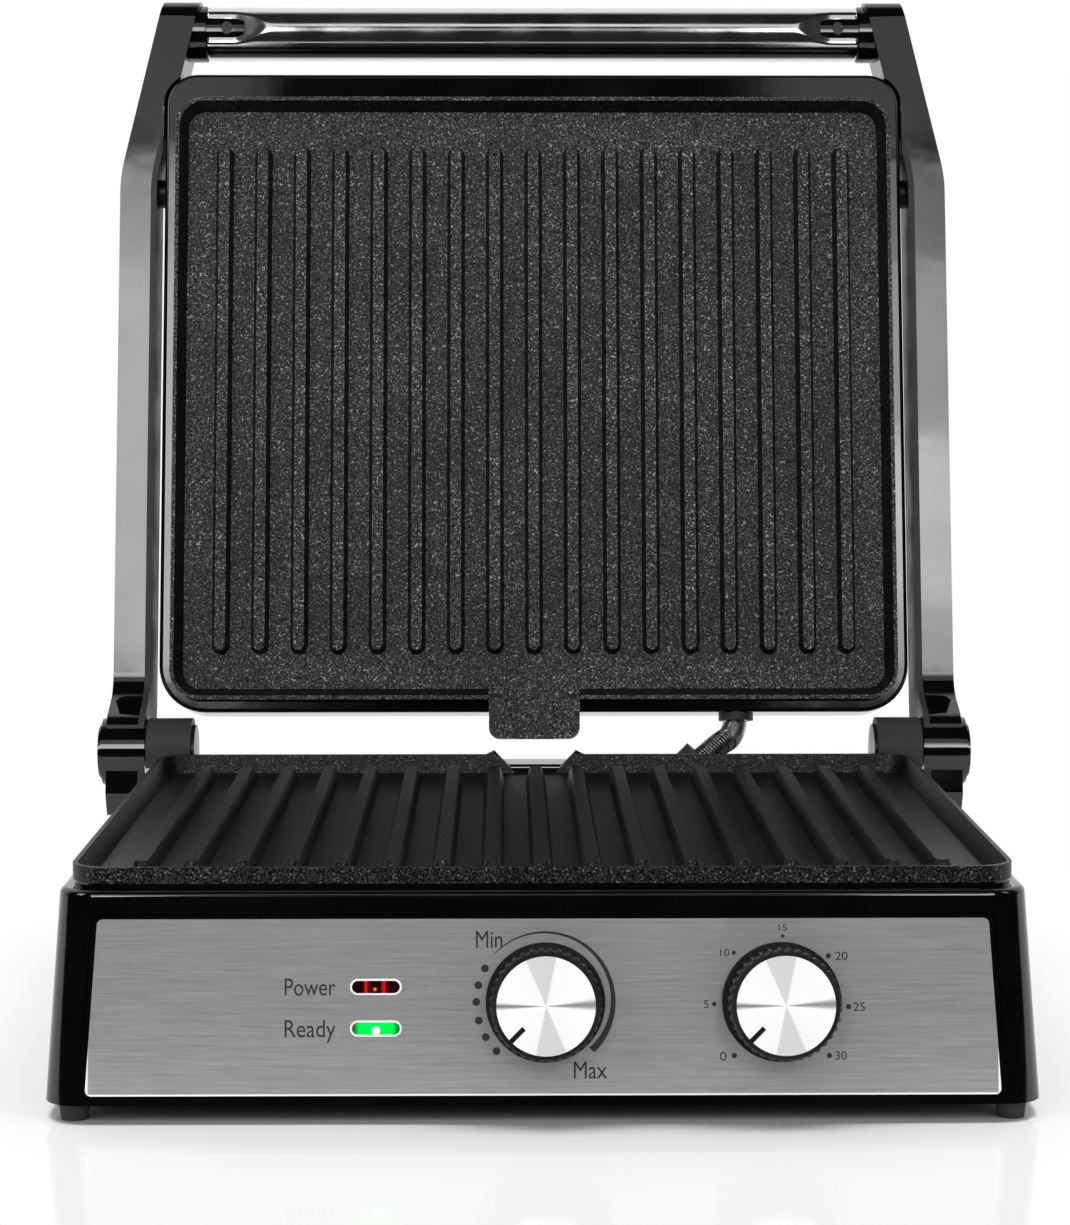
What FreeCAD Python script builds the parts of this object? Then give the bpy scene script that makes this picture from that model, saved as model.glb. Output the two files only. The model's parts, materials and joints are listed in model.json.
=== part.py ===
import FreeCAD, Part
import math
import os

# Contact grill with a floating lid, standing open. Millimetres, +Z up, the controls face -Y.
# y = 0 is the front end of the lower ribs and z = 0 the table while the pieces are drawn. The arms
# and the lid are drawn shut, face down, and then swung open about the hinge. At the end the whole
# grill is moved so that its origin is under the middle of its bounding box.

# Cooking plates
RIB_COUNT = 17
RIB_PITCH = 15.85
RIB_LENGTH = 210.4
RIB_FOOT = 7.4  # width where a rib leaves the plate's floor
RIB_CREST = 4.2
RIB_HEIGHT = 5.0
SIDE_MARGIN = 16.25  # outer rib's foot to the outside of the rim
FRONT_MARGIN = 19.5  # rib ends to the outside of the rim
REAR_MARGIN = 18.6
RIM_TOP = 1.5
RIM_SLOPE = 3.3  # run of the rim's inner wall
RIM_DEPTH = 6.7  # rim top to floor
PLATE_SKIRT = 5.1  # rim top to the face that rests on the seat
PLATE_FLOOR = 4.0
PLATE_CORNER = 12.0
PLATE_LIP = 3.25  # how far the skirt hangs over the plate's body
NOTCH_TOP = 14.5  # half widths of the grease notch in the lower plate's rear rim
NOTCH_FLOOR = 8.0
EAR = 3.2
EAR_RISE = 1.6
SPOUT_HALF = 18.25
SPOUT_REACH = 15.9  # past the upper plate's rear rim
SPOUT_CORNER = 4.5
SPOUT_FLOOR = 1.5
SPOUT_CHANNEL_ROOT = 12.5
SPOUT_CHANNEL_MOUTH = 7.5
PLATE_GAP = 0.6  # between the two rims when the lid is shut
EAR_GAP = 0.5  # lower plate's ears in their relief in the upper plate

# Base
FOOT_HEIGHT = 6.0
FOOT_RADIUS = 5.0
FOOT_TAPER = 0.8
FOOT_INSET = 9.0
REAR_FOOT_INSET = 15.0
BASE_HEIGHT = 65.0
BASE_WALL = 3.0
BASE_SIDE_MARGIN = 3.25  # plate rim to the edge of the deck
BASE_FRONT_MARGIN = 3.5
BASE_REAR_MARGIN = 35.0
SIDE_FLARE = 4.0
FRONT_FLARE = 9.3
REAR_FLARE = 2.0
BASE_CORNER = 11.0
DECK_EDGE = 2.2  # rounding of the deck's outer edge
COLLAR_HEIGHT = 1.6
COLLAR_WIDTH = 2.3
COVER_THICKNESS = 2.5
VENT_COUNT = 7
VENT_PITCH = 9.0
VENT_LENGTH = 60.0
VENT_WIDTH = 3.0
VENT_X = 85.0
VENT_AHEAD = 40.0  # vents ahead of the plate's middle
CASE_POST_RADIUS = 4.2
CASE_POST_HEIGHT = 44.0
CASE_WEB = 2.4
CASE_WEB_REACH = 10.0
CASE_SCREW_RADIUS = 1.6
CASE_SCREW_LENGTH = 16.0
CASE_HEAD_RADIUS = 3.4
CASE_SCREW_INSET = 7.0
CASE_SCREW_FRONT = 27.0
CASE_SCREW_REAR = 34.0
DRAIN_HALF = 16.0
DRAIN_LENGTH = 16.0
DRAIN_SETBACK = 2.0  # plate rim to the drain hole
CHUTE_WALL = 1.5
CHUTE_DROP = 24.0

# Front panel and its controls, on the sloping front face
FASCIA_MARGIN = 11.2  # fascia's edge to the base's side
FASCIA_TOP = 7.4  # fascia's edge to the deck
FASCIA_CORNER = 3.0
SEAM = 0.35
PANEL_SIDE = 1.7  # panel's edge to the fascia's edge
PANEL_TOP = 1.2
PANEL_BOTTOM = 3.0
PANEL_THICKNESS = 1.2
PANEL_RECESS = 0.9
PANEL_CORNER = 1.8
KNOB_DROP = 1.3  # knobs below the middle of the front face
TEMPERATURE_X = 0.5
TIMER_X = 73.0
LAMP_X = -51.5
POWER_RISE = 3.4
READY_RISE = -9.3
LAMP_LENGTH = 15.9
LAMP_WIDTH = 5.0
LAMP_RIM = 0.6
LAMP_PROUD = 0.6
LENS_LOW = 0.2  # lens below its rim
LAMP_DEPTH = 9.0
FLANGE_RADIUS = 18.3
FLANGE_THICKNESS = 2.2
GRIP_RADIUS = 17.0
KNOB_HEIGHT = 16.0
KNOB_GAP = 0.5  # flange to panel
KNOB_EDGE = 0.8
KNOB_ROOF = 4.0  # shaft's end to the knob's face
DISC_RADIUS = 15.0
DISC_THICKNESS = 1.0
DISC_PROUD = 0.3
POINTER_WIDTH = 1.6
POINTER_LENGTH = 5.6
POINTER_ANGLE = 225.0
FLUTE_COUNT = 36
FLUTE_RADIUS = 1.15
FLUTE_OUT = 0.52  # flutes' centres outside the grip
SHAFT_RADIUS = 3.0
RUNNING_GAP = 0.05
HOLE_GAP = 0.6
CONTROL_SIZE = 26.0
CONTROL_DEPTH = 20.0
CONTROL_CORNER = 2.0
TERMINAL_PIN = 1.5
TERMINAL_PIN_LENGTH = 6.0
TERMINAL_PIN_X = 7.0
TIMER_RADIUS = 17.0
TIMER_BELL = 1.5
TIMER_BELL_DEPTH = 2.0
BOARD_MARGIN_X = 4.0
BOARD_MARGIN_Z = 6.0
BOARD_THICKNESS = 1.6
BOARD_CORNER = 1.0
BOARD_LEG = 2.0
BOARD_LEG_INSET = 3.0

# Heating
TUBE_RADIUS = 3.3
HEATER_SIDE = 51.75  # tube's middle inside the plate's side
HEATER_FRONT = 22.0
HEATER_REAR_INSET = 10.4  # tube's ends ahead of the ribs' rear ends
HEATER_BEND = 28.0
GROOVE_DEPTH = 2.2
REFLECTOR_MARGIN = 9.0  # plate's body to the reflector's wall
REFLECTOR_TOP_GAP = 2.0
REFLECTOR_DEPTH = 12.6
SHEET = 0.8
POST_X = 60.0
POST_FRONT = 45.0
POST_REAR_INSET = 45.4  # rear posts ahead of the ribs' rear ends
POST_RADIUS = 4.5
SCREW_RADIUS = 2.0
SCREW_HEAD_RADIUS = 3.6
SCREW_HEAD = 2.0
FUSE_RADIUS = 3.0
FUSE_LENGTH = 22.0
FUSE_CLIP_WIDTH = 12.0
FUSE_CLIP_LENGTH = 10.0
FUSE_DROP = 3.5  # fuse's middle under the reflector

# Hinge
HINGE_BACK = 21.0  # axis behind the plate's rim
HINGE_RISE = 5.0  # axis above the deck
OPEN_ANGLE = 101.65
DRUM_RADIUS = 13.3
TOWER_INSET = 15.0  # tower's inner face inside the lid's side
ARM_GAP = 0.5  # tower to arm drum
TOWER_WIDTH = 17.5
DRUM_WIDTH = 17.5
CAP_THICKNESS = 1.4
CAP_RADIUS = 10.5
PIN_RADIUS = 5.0
PIN_FLOOR = 2.0  # left of the tower at the pin's inner end
PIN_ROOF = 2.5  # left of the arm's drum at its outer end
PIN_END_GAP = 0.5
STOP_RADIUS = 1.5
STOP_ORBIT = 9.3
STOP_ANGLE = 200.0
STOP_DEPTH = 4.5
STOP_SOCKET = 6.0
STOP_END_GAP = 1.0
STOP_SLOT_GAP = 0.25
STOP_SLOT_SPARE = 0.3

# Arms and handle
ARM_CLEAR = 3.5  # lid's side to the arm
CORNER_CLEAR = 1.2  # lid's front corner to the arm's bend
ARM_WIDTH = 15.0
ARM_DEPTH = 24.0
ARM_RISE = 1.6  # arm's lower face above the lid's seat plane, shut
ARM_WALL = 2.5
ARM_HEEL = 26.0
ARM_HEEL_RISE = 3.0
ARM_NECK = 12.0  # underside's bend ahead of the axis
ARM_NECK_RUN = 13.0
ARM_BACK = 14.0  # upper side's bend ahead of the axis
ARM_HEEL_CUT = 8.0
ARM_HEEL_LEAN = 3.0
ARM_HEEL_LOW = 4.0
ARM_HEEL_HIGH = 9.0
ARM_TIP_CORNER = 9.0
ARM_BELLY_RADIUS = 14.0
ARM_NECK_RADIUS = 8.0
ARM_HEEL_RADII = (4.0, 3.0, 6.0)
ARM_BACK_RADIUS = 30.0
ARM_BEND_RADIUS = 60.0
BEND_START = 12.0
ARM_END = -64.0
BEND_INSET = 17.0
LINER = 2.4
LINER_FRONT = -5.0  # ahead of it the arm is one piece
ARM_SOLID_END = 20.0  # solid length behind the handle
PIVOT_BOSS = 2.0
HANDLE_Y = -51.6
HANDLE_RADIUS = 11.1
HANDLE_WALL = 1.2
HANDLE_SHORT = 2.2  # tube's end to the arm's inner side, carried on from the bend
SOCKET_RADIUS = 11.6
SOCKET_LENGTH = 13.0
SPIGOT = 16.0
HANDLE_SCREW_INSET = 8.8
HANDLE_SCREW_LENGTH = 8.0
HANDLE_SCREW_HEAD = 2.0
HANDLE_SCREW_PROUD = 0.2
PIVOT_Y = 16.8
PIVOT_RADIUS = 3.8
PIVOT_HEAD = 7.0
PIVOT_HEAD_SEAT = 6.0  # head's seat under the arm's outer face
PIVOT_CAP_SEAT = 2.5
PIVOT_CAP_LOW = 0.3
PIVOT_END_GAP = 0.5
BUSH_WALL = 2.0
BOSS_WALL = 1.0
BOSS_GAP = 0.2  # boss under the lid's top
BUSH_SEAT_GAP = 0.5
BUSH_END_GAP = 0.3
BUSH_LENGTH = 9.0  # inside the lid's side

# Lid
LID_HALF_MARGIN = 4.75  # plate rim to the lid's side
LID_FRONT_MARGIN = 11.1
LID_REAR_MARGIN = 4.9
LID_FRONT_CORNER = 13.0
LID_REAR_CORNER = 19.0
LID_WALL = 3.0
LID_DEPTH = 20.6
COVER_DEPTH = 18.0
COVER_STEP = 1.0
COVER_TAPER = 8.0
COVER_SHEET = 1.2
COVER_EDGE = 3.5
COVER_LAP = 0.5
LID_EDGE = 1.6
BODY_GAP = 0.5  # plate body in its opening

# Drip tray
TRAY_HALF = 70.0
TRAY_LENGTH = 118.0
TRAY_HEIGHT = 29.0
TRAY_WALL = 2.0
TRAY_GAP = 0.4
TRAY_LIP = 9.0
TRAY_LIP_THICKNESS = 3.0
TRAY_CORNER = 4.0

# Flexible conduit between the base and the lid
CONDUIT_RADIUS = 5.0
CONDUIT_LID_X = 82.0
CONDUIT_BASE_X = 66.0
CONDUIT_BACK = 24.5  # base gland behind the plate's rim
CONDUIT_LEAN = 45.0  # degrees from upright, towards the lid's gland, where it leaves the deck
CONDUIT_RUN = 9.0  # straight length on each side of the deck's gland
CONDUIT_DROP = 6.0  # straight length out of the lid's gland
CONDUIT_BEND = 0.45  # share of the shorter run that an arc takes
CONDUIT_RISE = 7.6  # lid gland above the lid's seat plane, shut
GLAND_RADIUS = 7.0
GLAND_PROUD = 3.0
GLAND_SPARE = 2.0  # gland past the wall's inner face
GLAND_COLLAR = 1.5
GLAND_COLLAR_HEIGHT = 2.0
LID_GLAND_GAP = 0.4

# Mains inlet
INLET_X = -105.0
INLET_Z = 30.0
INLET_RADIUS = 8.0
INLET_BORE = 3.6
INLET_LENGTH = 22.0
INLET_FLANGE = 2.0
INLET_FLANGE_THICKNESS = 2.5
INLET_FLANGE_GAP = 0.3
INLET_SLEEVE_OUT = 2.0
INLET_SLEEVE_IN = 10.0
INLET_TAPER = 3.0
TERMINAL_WIDTH = 36.0
TERMINAL_LENGTH = 16.0
TERMINAL_HEIGHT = 15.0
TERMINAL_SETBACK = 62.0
TERMINAL_WAYS = (-12.0, 0.0, 12.0)
TERMINAL_WAY_RADIUS = 2.2
TERMINAL_WAY_Z = 7.0

# Cutting shapes
PAST = 1.0  # how far a cutter runs past the face that it opens
FAR = 40.0  # a cutter's reach where nothing else is near
TINY = 1e-3

# Worked out
PLATE_HALF = (RIB_COUNT - 1) / 2 * RIB_PITCH + RIB_FOOT / 2 + SIDE_MARGIN
PLATE_FRONT = -FRONT_MARGIN
PLATE_REAR = RIB_LENGTH + REAR_MARGIN
DECK_Z = FOOT_HEIGHT + BASE_HEIGHT
SEAT_Z = DECK_Z + COLLAR_HEIGHT
RIM_Z = SEAT_Z + PLATE_SKIRT
FLOOR_Z = RIM_Z - RIM_DEPTH
BODY_Z = FLOOR_Z - PLATE_FLOOR
HEATER_HALF = PLATE_HALF - HEATER_SIDE
HEATER_REAR = RIB_LENGTH - HEATER_REAR_INSET
POST_Y = (POST_FRONT, RIB_LENGTH - POST_REAR_INSET)
POSTS = [(x, y) for x in (-POST_X, POST_X) for y in POST_Y]
MEETING_Z = RIM_Z + PLATE_GAP / 2
LID_SEAT_Z = 2 * MEETING_Z - SEAT_Z
LID_TOP_Z = LID_SEAT_Z + LID_DEPTH
HINGE_Y = PLATE_REAR + HINGE_BACK
HINGE_Z = DECK_Z + HINGE_RISE
DECK_HALF = PLATE_HALF + BASE_SIDE_MARGIN
DECK_FRONT = PLATE_FRONT - BASE_FRONT_MARGIN
DECK_REAR = PLATE_REAR + BASE_REAR_MARGIN
FRONT_LEAN = math.degrees(math.atan2(FRONT_FLARE, BASE_HEIGHT))
FACE_Z = FOOT_HEIGHT + BASE_HEIGHT / 2
FACE_Y = DECK_FRONT - FRONT_FLARE / 2
LID_HALF = PLATE_HALF + LID_HALF_MARGIN
LID_FRONT = PLATE_FRONT - LID_FRONT_MARGIN
LID_REAR = PLATE_REAR + LID_REAR_MARGIN
ARM_INNER = LID_HALF + ARM_CLEAR
ARM_OUTER = ARM_INNER + ARM_WIDTH
ARM_LOW_Z = LID_SEAT_Z + ARM_RISE
ARM_MID_Z = ARM_LOW_Z + ARM_DEPTH / 2
PIVOT_Z = LID_TOP_Z - PIVOT_RADIUS - BUSH_WALL - BOSS_WALL - BOSS_GAP
HANDLE_HALF = ARM_INNER - BEND_INSET - HANDLE_SHORT
TOWER_INNER = LID_HALF - TOWER_INSET
TOWER_OUTER = TOWER_INNER + TOWER_WIDTH
DRUM_INNER = TOWER_OUTER + ARM_GAP
DRUM_OUTER = DRUM_INNER + DRUM_WIDTH
COVER_BOTTOM_Z = FOOT_HEIGHT
COVER_TOP_Z = FOOT_HEIGHT + COVER_THICKNESS


def vec(x, y, z):
    return FreeCAD.Vector(x, y, z)


X_AXIS = vec(1, 0, 0)
Y_AXIS = vec(0, 1, 0)
Z_AXIS = vec(0, 0, 1)
ORIGIN = vec(0, 0, 0)
HINGE_POINT = vec(0, HINGE_Y, HINGE_Z)


def smooth_wire(corners, radii):
    """A closed wire through the corners, each rounded to its own radius."""
    bends = []
    for i, (corner, radius) in enumerate(zip(corners, radii)):
        back = (corners[i - 1] - corner).normalize()
        ahead = (corners[(i + 1) % len(corners)] - corner).normalize()
        half_angle = math.acos(max(-1.0, min(1.0, back.dot(ahead)))) / 2
        if radius == 0:
            bends.append((corner, None, corner))
            continue
        inward = (back + ahead).normalize()
        reach = radius / math.tan(half_angle)
        middle = corner + inward * (radius / math.sin(half_angle) - radius)
        bends.append((corner + back * reach, middle, corner + ahead * reach))
    edges = []
    for i, (start, middle, end) in enumerate(bends):
        if middle is not None:
            edges.append(Part.Arc(start, middle, end).toShape())
        following = bends[(i + 1) % len(bends)][0]
        if end.distanceToPoint(following) > 1e-6:
            edges.append(Part.LineSegment(end, following).toShape())
    return Part.Wire(edges)


def outline(half, front, rear, radius, z, rear_radius=None):
    """A level rectangle with round corners, even about x = 0."""
    back_radius = radius if rear_radius is None else rear_radius
    corners = [vec(-half, front, z), vec(half, front, z), vec(half, rear, z), vec(-half, rear, z)]
    return smooth_wire(corners, [radius, radius, back_radius, back_radius])


def slab(half, front, rear, radius, low, high, rear_radius=None):
    """A level plate with round corners, from low to high."""
    wire = outline(half, front, rear, radius, low, rear_radius)
    return Part.Face(wire).extrude(vec(0, 0, high - low))


def loft(*wires):
    return Part.makeLoft(list(wires), True, True)


def block(x0, x1, y0, y1, z0, z1):
    return Part.makeBox(x1 - x0, y1 - y0, z1 - z0, vec(x0, y0, z0))


def rod(radius, start, direction, length):
    return Part.makeCylinder(radius, length, start, direction)


def ring(outer, inner, start, direction, length):
    return rod(outer, start, direction, length).cut(rod(inner, start, direction, length))


def side_prism(points, radii, x0, x1):
    """A profile of (y, z) points carried along x."""
    wire = smooth_wire([vec(x0, y, z) for y, z in points], radii)
    return Part.Face(wire).extrude(vec(x1 - x0, 0, 0))


def plan_prism(points, radii, z0, z1):
    """A profile of (x, y) points carried along z."""
    wire = smooth_wire([vec(x, y, z0) for x, y in points], radii)
    return Part.Face(wire).extrude(vec(0, 0, z1 - z0))


def face_prism(points, radii, low, high):
    """A profile of (across, up) points on the front face, from low to high outwards."""
    wire = smooth_wire([vec(across, -low, up) for across, up in points], radii)
    return Part.Face(wire).extrude(vec(0, low - high, 0))


def other_side(shape):
    """The same piece on the other side of the grill."""
    return shape.mirror(ORIGIN, X_AXIS)


def upside_down(shape):
    """The lid's copy of a piece of the base, facing it across the plates' meeting plane."""
    return shape.mirror(vec(0, 0, MEETING_Z), Z_AXIS)


def on_front(shape):
    """Lean a piece drawn upright about the origin back onto the middle of the front face."""
    leaning = shape.copy()
    leaning.rotate(ORIGIN, X_AXIS, -FRONT_LEAN)
    leaning.translate(vec(0, FACE_Y, FACE_Z))
    return leaning


def swung_open(shape):
    turned = shape.copy()
    turned.rotate(HINGE_POINT, X_AXIS, -OPEN_ANGLE)
    return turned


def group(shapes):
    """Separate solids that share one node."""
    return Part.makeCompound(shapes)


def pair(shape):
    return group([shape, other_side(shape)])


# ---------------------------------------------------------------- cooking plates


def rib(x):
    """One rib with sloping flanks and round ends."""
    run = (RIB_FOOT - RIB_CREST) / 2
    foot = smooth_wire(
        [vec(x - RIB_FOOT / 2, 0, FLOOR_Z), vec(x + RIB_FOOT / 2, 0, FLOOR_Z),
         vec(x + RIB_FOOT / 2, RIB_LENGTH, FLOOR_Z), vec(x - RIB_FOOT / 2, RIB_LENGTH, FLOOR_Z)],
        [RIB_FOOT / 2] * 4,
    )
    top = FLOOR_Z + RIB_HEIGHT
    crest = smooth_wire(
        [vec(x - RIB_CREST / 2, run, top), vec(x + RIB_CREST / 2, run, top),
         vec(x + RIB_CREST / 2, RIB_LENGTH - run, top), vec(x - RIB_CREST / 2, RIB_LENGTH - run, top)],
        [RIB_CREST / 2] * 4,
    )
    return loft(foot, crest)


def heater_tube():
    """The U of the heating tube, lying in its groove under the plate."""
    z = BODY_Z + GROOVE_DEPTH - TUBE_RADIUS
    h, b = HEATER_HALF, HEATER_BEND
    lean = b * (1 - math.sqrt(0.5))
    front = HEATER_FRONT
    edges = [
        Part.LineSegment(vec(-h, HEATER_REAR, z), vec(-h, front + b, z)).toShape(),
        Part.Arc(vec(-h, front + b, z), vec(-h + lean, front + lean, z), vec(-h + b, front, z)).toShape(),
        Part.LineSegment(vec(-h + b, front, z), vec(h - b, front, z)).toShape(),
        Part.Arc(vec(h - b, front, z), vec(h - lean, front + lean, z), vec(h, front + b, z)).toShape(),
        Part.LineSegment(vec(h, front + b, z), vec(h, HEATER_REAR, z)).toShape(),
    ]
    path = Part.Wire(edges)
    circle = Part.Wire([Part.Circle(vec(-h, HEATER_REAR, z), Y_AXIS, TUBE_RADIUS).toShape()])
    return path.makePipeShell([circle], True, False)


def plate_blank():
    """Rim, floor, ribs, heater groove and screw posts, the same in both plates."""
    half, front, rear = PLATE_HALF, PLATE_FRONT, PLATE_REAR
    skirt = slab(half, front, rear, PLATE_CORNER, SEAT_Z, RIM_Z)
    corner = PLATE_CORNER - PLATE_LIP
    body = slab(half - PLATE_LIP, front + PLATE_LIP, rear - PLATE_LIP, corner, BODY_Z, RIM_Z)
    widen = RIM_SLOPE * PAST / RIM_DEPTH
    low_in = RIM_TOP + RIM_SLOPE
    high_in = RIM_TOP - widen
    pocket = loft(
        outline(half - low_in, front + low_in, rear - low_in, PLATE_CORNER - low_in, FLOOR_Z),
        outline(half - high_in, front + high_in, rear - high_in, PLATE_CORNER - high_in, RIM_Z + PAST),
    )
    first = -(RIB_COUNT - 1) / 2 * RIB_PITCH
    ribs = [rib(first + i * RIB_PITCH) for i in range(RIB_COUNT)]
    post_length = BODY_Z - reflector_floor_z()
    posts = [rod(POST_RADIUS, vec(x, y, BODY_Z - post_length), Z_AXIS, post_length) for x, y in POSTS]
    plate = skirt.fuse(body).cut(pocket).cut(heater_tube())
    return plate.multiFuse(ribs + posts).cut(group(plate_screw_shanks()))


def reflector_floor_z():
    return BODY_Z - REFLECTOR_TOP_GAP - REFLECTOR_DEPTH + SHEET


def plate_screw_shanks():
    bottom = reflector_floor_z() - SHEET
    return [rod(SCREW_RADIUS, vec(x, y, bottom), Z_AXIS, POST_RADIUS * 2) for x, y in POSTS]


def plate_screws():
    bottom = reflector_floor_z() - SHEET
    heads = [rod(SCREW_HEAD_RADIUS, vec(x, y, bottom - SCREW_HEAD), Z_AXIS, SCREW_HEAD) for x, y in POSTS]
    return group([head.fuse(shank) for head, shank in zip(heads, plate_screw_shanks())])


def lower_plate():
    """The blank with its grease notch and the two pointed ears beside it."""
    rear = PLATE_REAR
    inner = rear - RIM_TOP - RIM_SLOPE
    rise = RIM_Z - FLOOR_Z
    slope = (NOTCH_TOP - NOTCH_FLOOR) / rise
    top = NOTCH_TOP + slope * EAR_RISE
    high = RIM_Z + EAR_RISE
    back = rear - RIM_TOP
    root = RIM_Z - EAR_GAP
    profile = [(-top - EAR, root), (-top - EAR, RIM_Z), (-top, high), (top, high),
               (top + EAR, RIM_Z), (top + EAR, root)]
    section = smooth_wire([vec(x, back, z) for x, z in profile], [0] * 6)
    ear_bar = Part.Face(section).extrude(vec(0, RIM_TOP, 0))
    over = EAR_RISE + PAST
    high_half = NOTCH_TOP + slope * over
    profile = [(-NOTCH_FLOOR, FLOOR_Z), (NOTCH_FLOOR, FLOOR_Z),
               (high_half, RIM_Z + over), (-high_half, RIM_Z + over)]
    gap = Part.Face(smooth_wire([vec(x, inner - PAST, z) for x, z in profile], [0] * 4))
    notch = gap.extrude(vec(0, rear - inner + 2 * PAST, 0))
    return plate_blank().fuse(ear_bar).cut(notch)


def upper_plate():
    """The blank turned over, with a grease spout that reaches out over the drain when shut."""
    root = PLATE_REAR - RIM_TOP - RIM_SLOPE
    tip = PLATE_REAR + SPOUT_REACH
    spout = plan_prism(
        [(-SPOUT_HALF, root), (SPOUT_HALF, root), (SPOUT_HALF, tip), (-SPOUT_HALF, tip)],
        [0, 0, SPOUT_CORNER, SPOUT_CORNER], SEAT_Z, RIM_Z,
    )
    channel = plan_prism(
        [(-SPOUT_CHANNEL_ROOT, root - PAST), (SPOUT_CHANNEL_ROOT, root - PAST),
         (SPOUT_CHANNEL_ROOT, PLATE_REAR), (SPOUT_CHANNEL_MOUTH, tip + PAST),
         (-SPOUT_CHANNEL_MOUTH, tip + PAST), (-SPOUT_CHANNEL_ROOT, PLATE_REAR)],
        [0] * 6, SEAT_Z + SPOUT_FLOOR, RIM_Z + PAST,
    )
    plate = upside_down(plate_blank().fuse(spout).cut(channel))
    ears = NOTCH_TOP + EAR + 2 * EAR_GAP
    front, rear = PLATE_REAR - RIM_TOP - EAR_GAP, PLATE_REAR + EAR_GAP
    relief = block(-ears, ears, front, rear, RIM_Z, RIM_Z + EAR_RISE + EAR_GAP)
    return plate.cut(relief)


def lower_reflector():
    """Sheet tray that throws the heater's warmth back at the plate."""
    half = PLATE_HALF - PLATE_LIP - REFLECTOR_MARGIN
    front = PLATE_FRONT + PLATE_LIP + REFLECTOR_MARGIN
    rear = PLATE_REAR - PLATE_LIP - REFLECTOR_MARGIN
    bottom = reflector_floor_z() - SHEET
    top = BODY_Z - REFLECTOR_TOP_GAP
    outer = slab(half, front, rear, PLATE_CORNER, bottom, top)
    inner = slab(half - SHEET, front + SHEET, rear - SHEET, PLATE_CORNER - SHEET, bottom + SHEET, top + PAST)
    return outer.cut(inner).cut(group(plate_screw_shanks()))


def thermal_fuse():
    """Cut-out in its clip under the reflector."""
    top = reflector_floor_z() - SHEET
    y = sum(POST_Y) / 2
    half, reach = FUSE_CLIP_WIDTH / 2, FUSE_CLIP_LENGTH / 2
    clip = block(-half, half, y - reach, y + reach, top - FUSE_DROP + FUSE_RADIUS / 2, top)
    return clip.fuse(rod(FUSE_RADIUS, vec(-FUSE_LENGTH / 2, y, top - FUSE_DROP), X_AXIS, FUSE_LENGTH))


# ---------------------------------------------------------------- base


def base_outline(z, inset):
    """The base's outline at a height: it widens downwards on every side."""
    down = (DECK_Z - z) / BASE_HEIGHT
    return outline(
        DECK_HALF + SIDE_FLARE * down - inset,
        DECK_FRONT - FRONT_FLARE * down + inset,
        DECK_REAR + REAR_FLARE * down - inset,
        BASE_CORNER - inset,
        z,
    )


def base_layer(low, high, inset):
    return loft(base_outline(low, inset), base_outline(high, inset))


def fascia_points(margin):
    """Corners of the front fascia, or of the hole it fills, on the front face."""
    stretch = 1 / math.cos(math.radians(FRONT_LEAN))
    top = (BASE_HEIGHT / 2 - FASCIA_TOP) * stretch + margin
    bottom = -BASE_HEIGHT / 2 * stretch
    half_top = DECK_HALF - FASCIA_MARGIN + margin
    half_bottom = half_top + SIDE_FLARE * (top - bottom) / (BASE_HEIGHT * stretch)
    return [(-half_bottom, bottom), (half_bottom, bottom), (half_top, top), (-half_top, top)]


def fascia_window():
    """The hole in the shell for the fascia, open at the bottom."""
    (left, bottom), (right, _), top_right, top_left = fascia_points(SEAM)
    low = bottom - 2 * BASE_WALL
    return [(left, low), (right, low), top_right, top_left]


def panel_points():
    (left, bottom), _, (half_top, top), _ = fascia_points(0)
    low = bottom + PANEL_BOTTOM
    high = top - PANEL_TOP
    half_low = -left - PANEL_SIDE
    half_high = half_top - PANEL_SIDE
    return [(-half_low, low), (half_low, low), (half_high, high), (-half_high, high)]


def panel_back():
    """Height of the steel panel's back over the front face."""
    return -PANEL_RECESS


def shaft_places():
    return [(TEMPERATURE_X, -KNOB_DROP), (TIMER_X, -KNOB_DROP)]


def lamp_places():
    return [(LAMP_X, POWER_RISE), (LAMP_X, READY_RISE)]


def pill(place, margin, low, high):
    """A lamp's long round-ended outline on the front face."""
    across, up = place
    half, tall = LAMP_LENGTH / 2 + margin, LAMP_WIDTH / 2 + margin
    points = [(across - half, up - tall), (across + half, up - tall),
              (across + half, up + tall), (across - half, up + tall)]
    return face_prism(points, [tall] * 4, low, high)


def front_rod(radius, place, low, high):
    """A round bar square to the front face."""
    across, up = place
    return rod(radius, vec(across, -low, up), vec(0, -1, 0), high - low)


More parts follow.
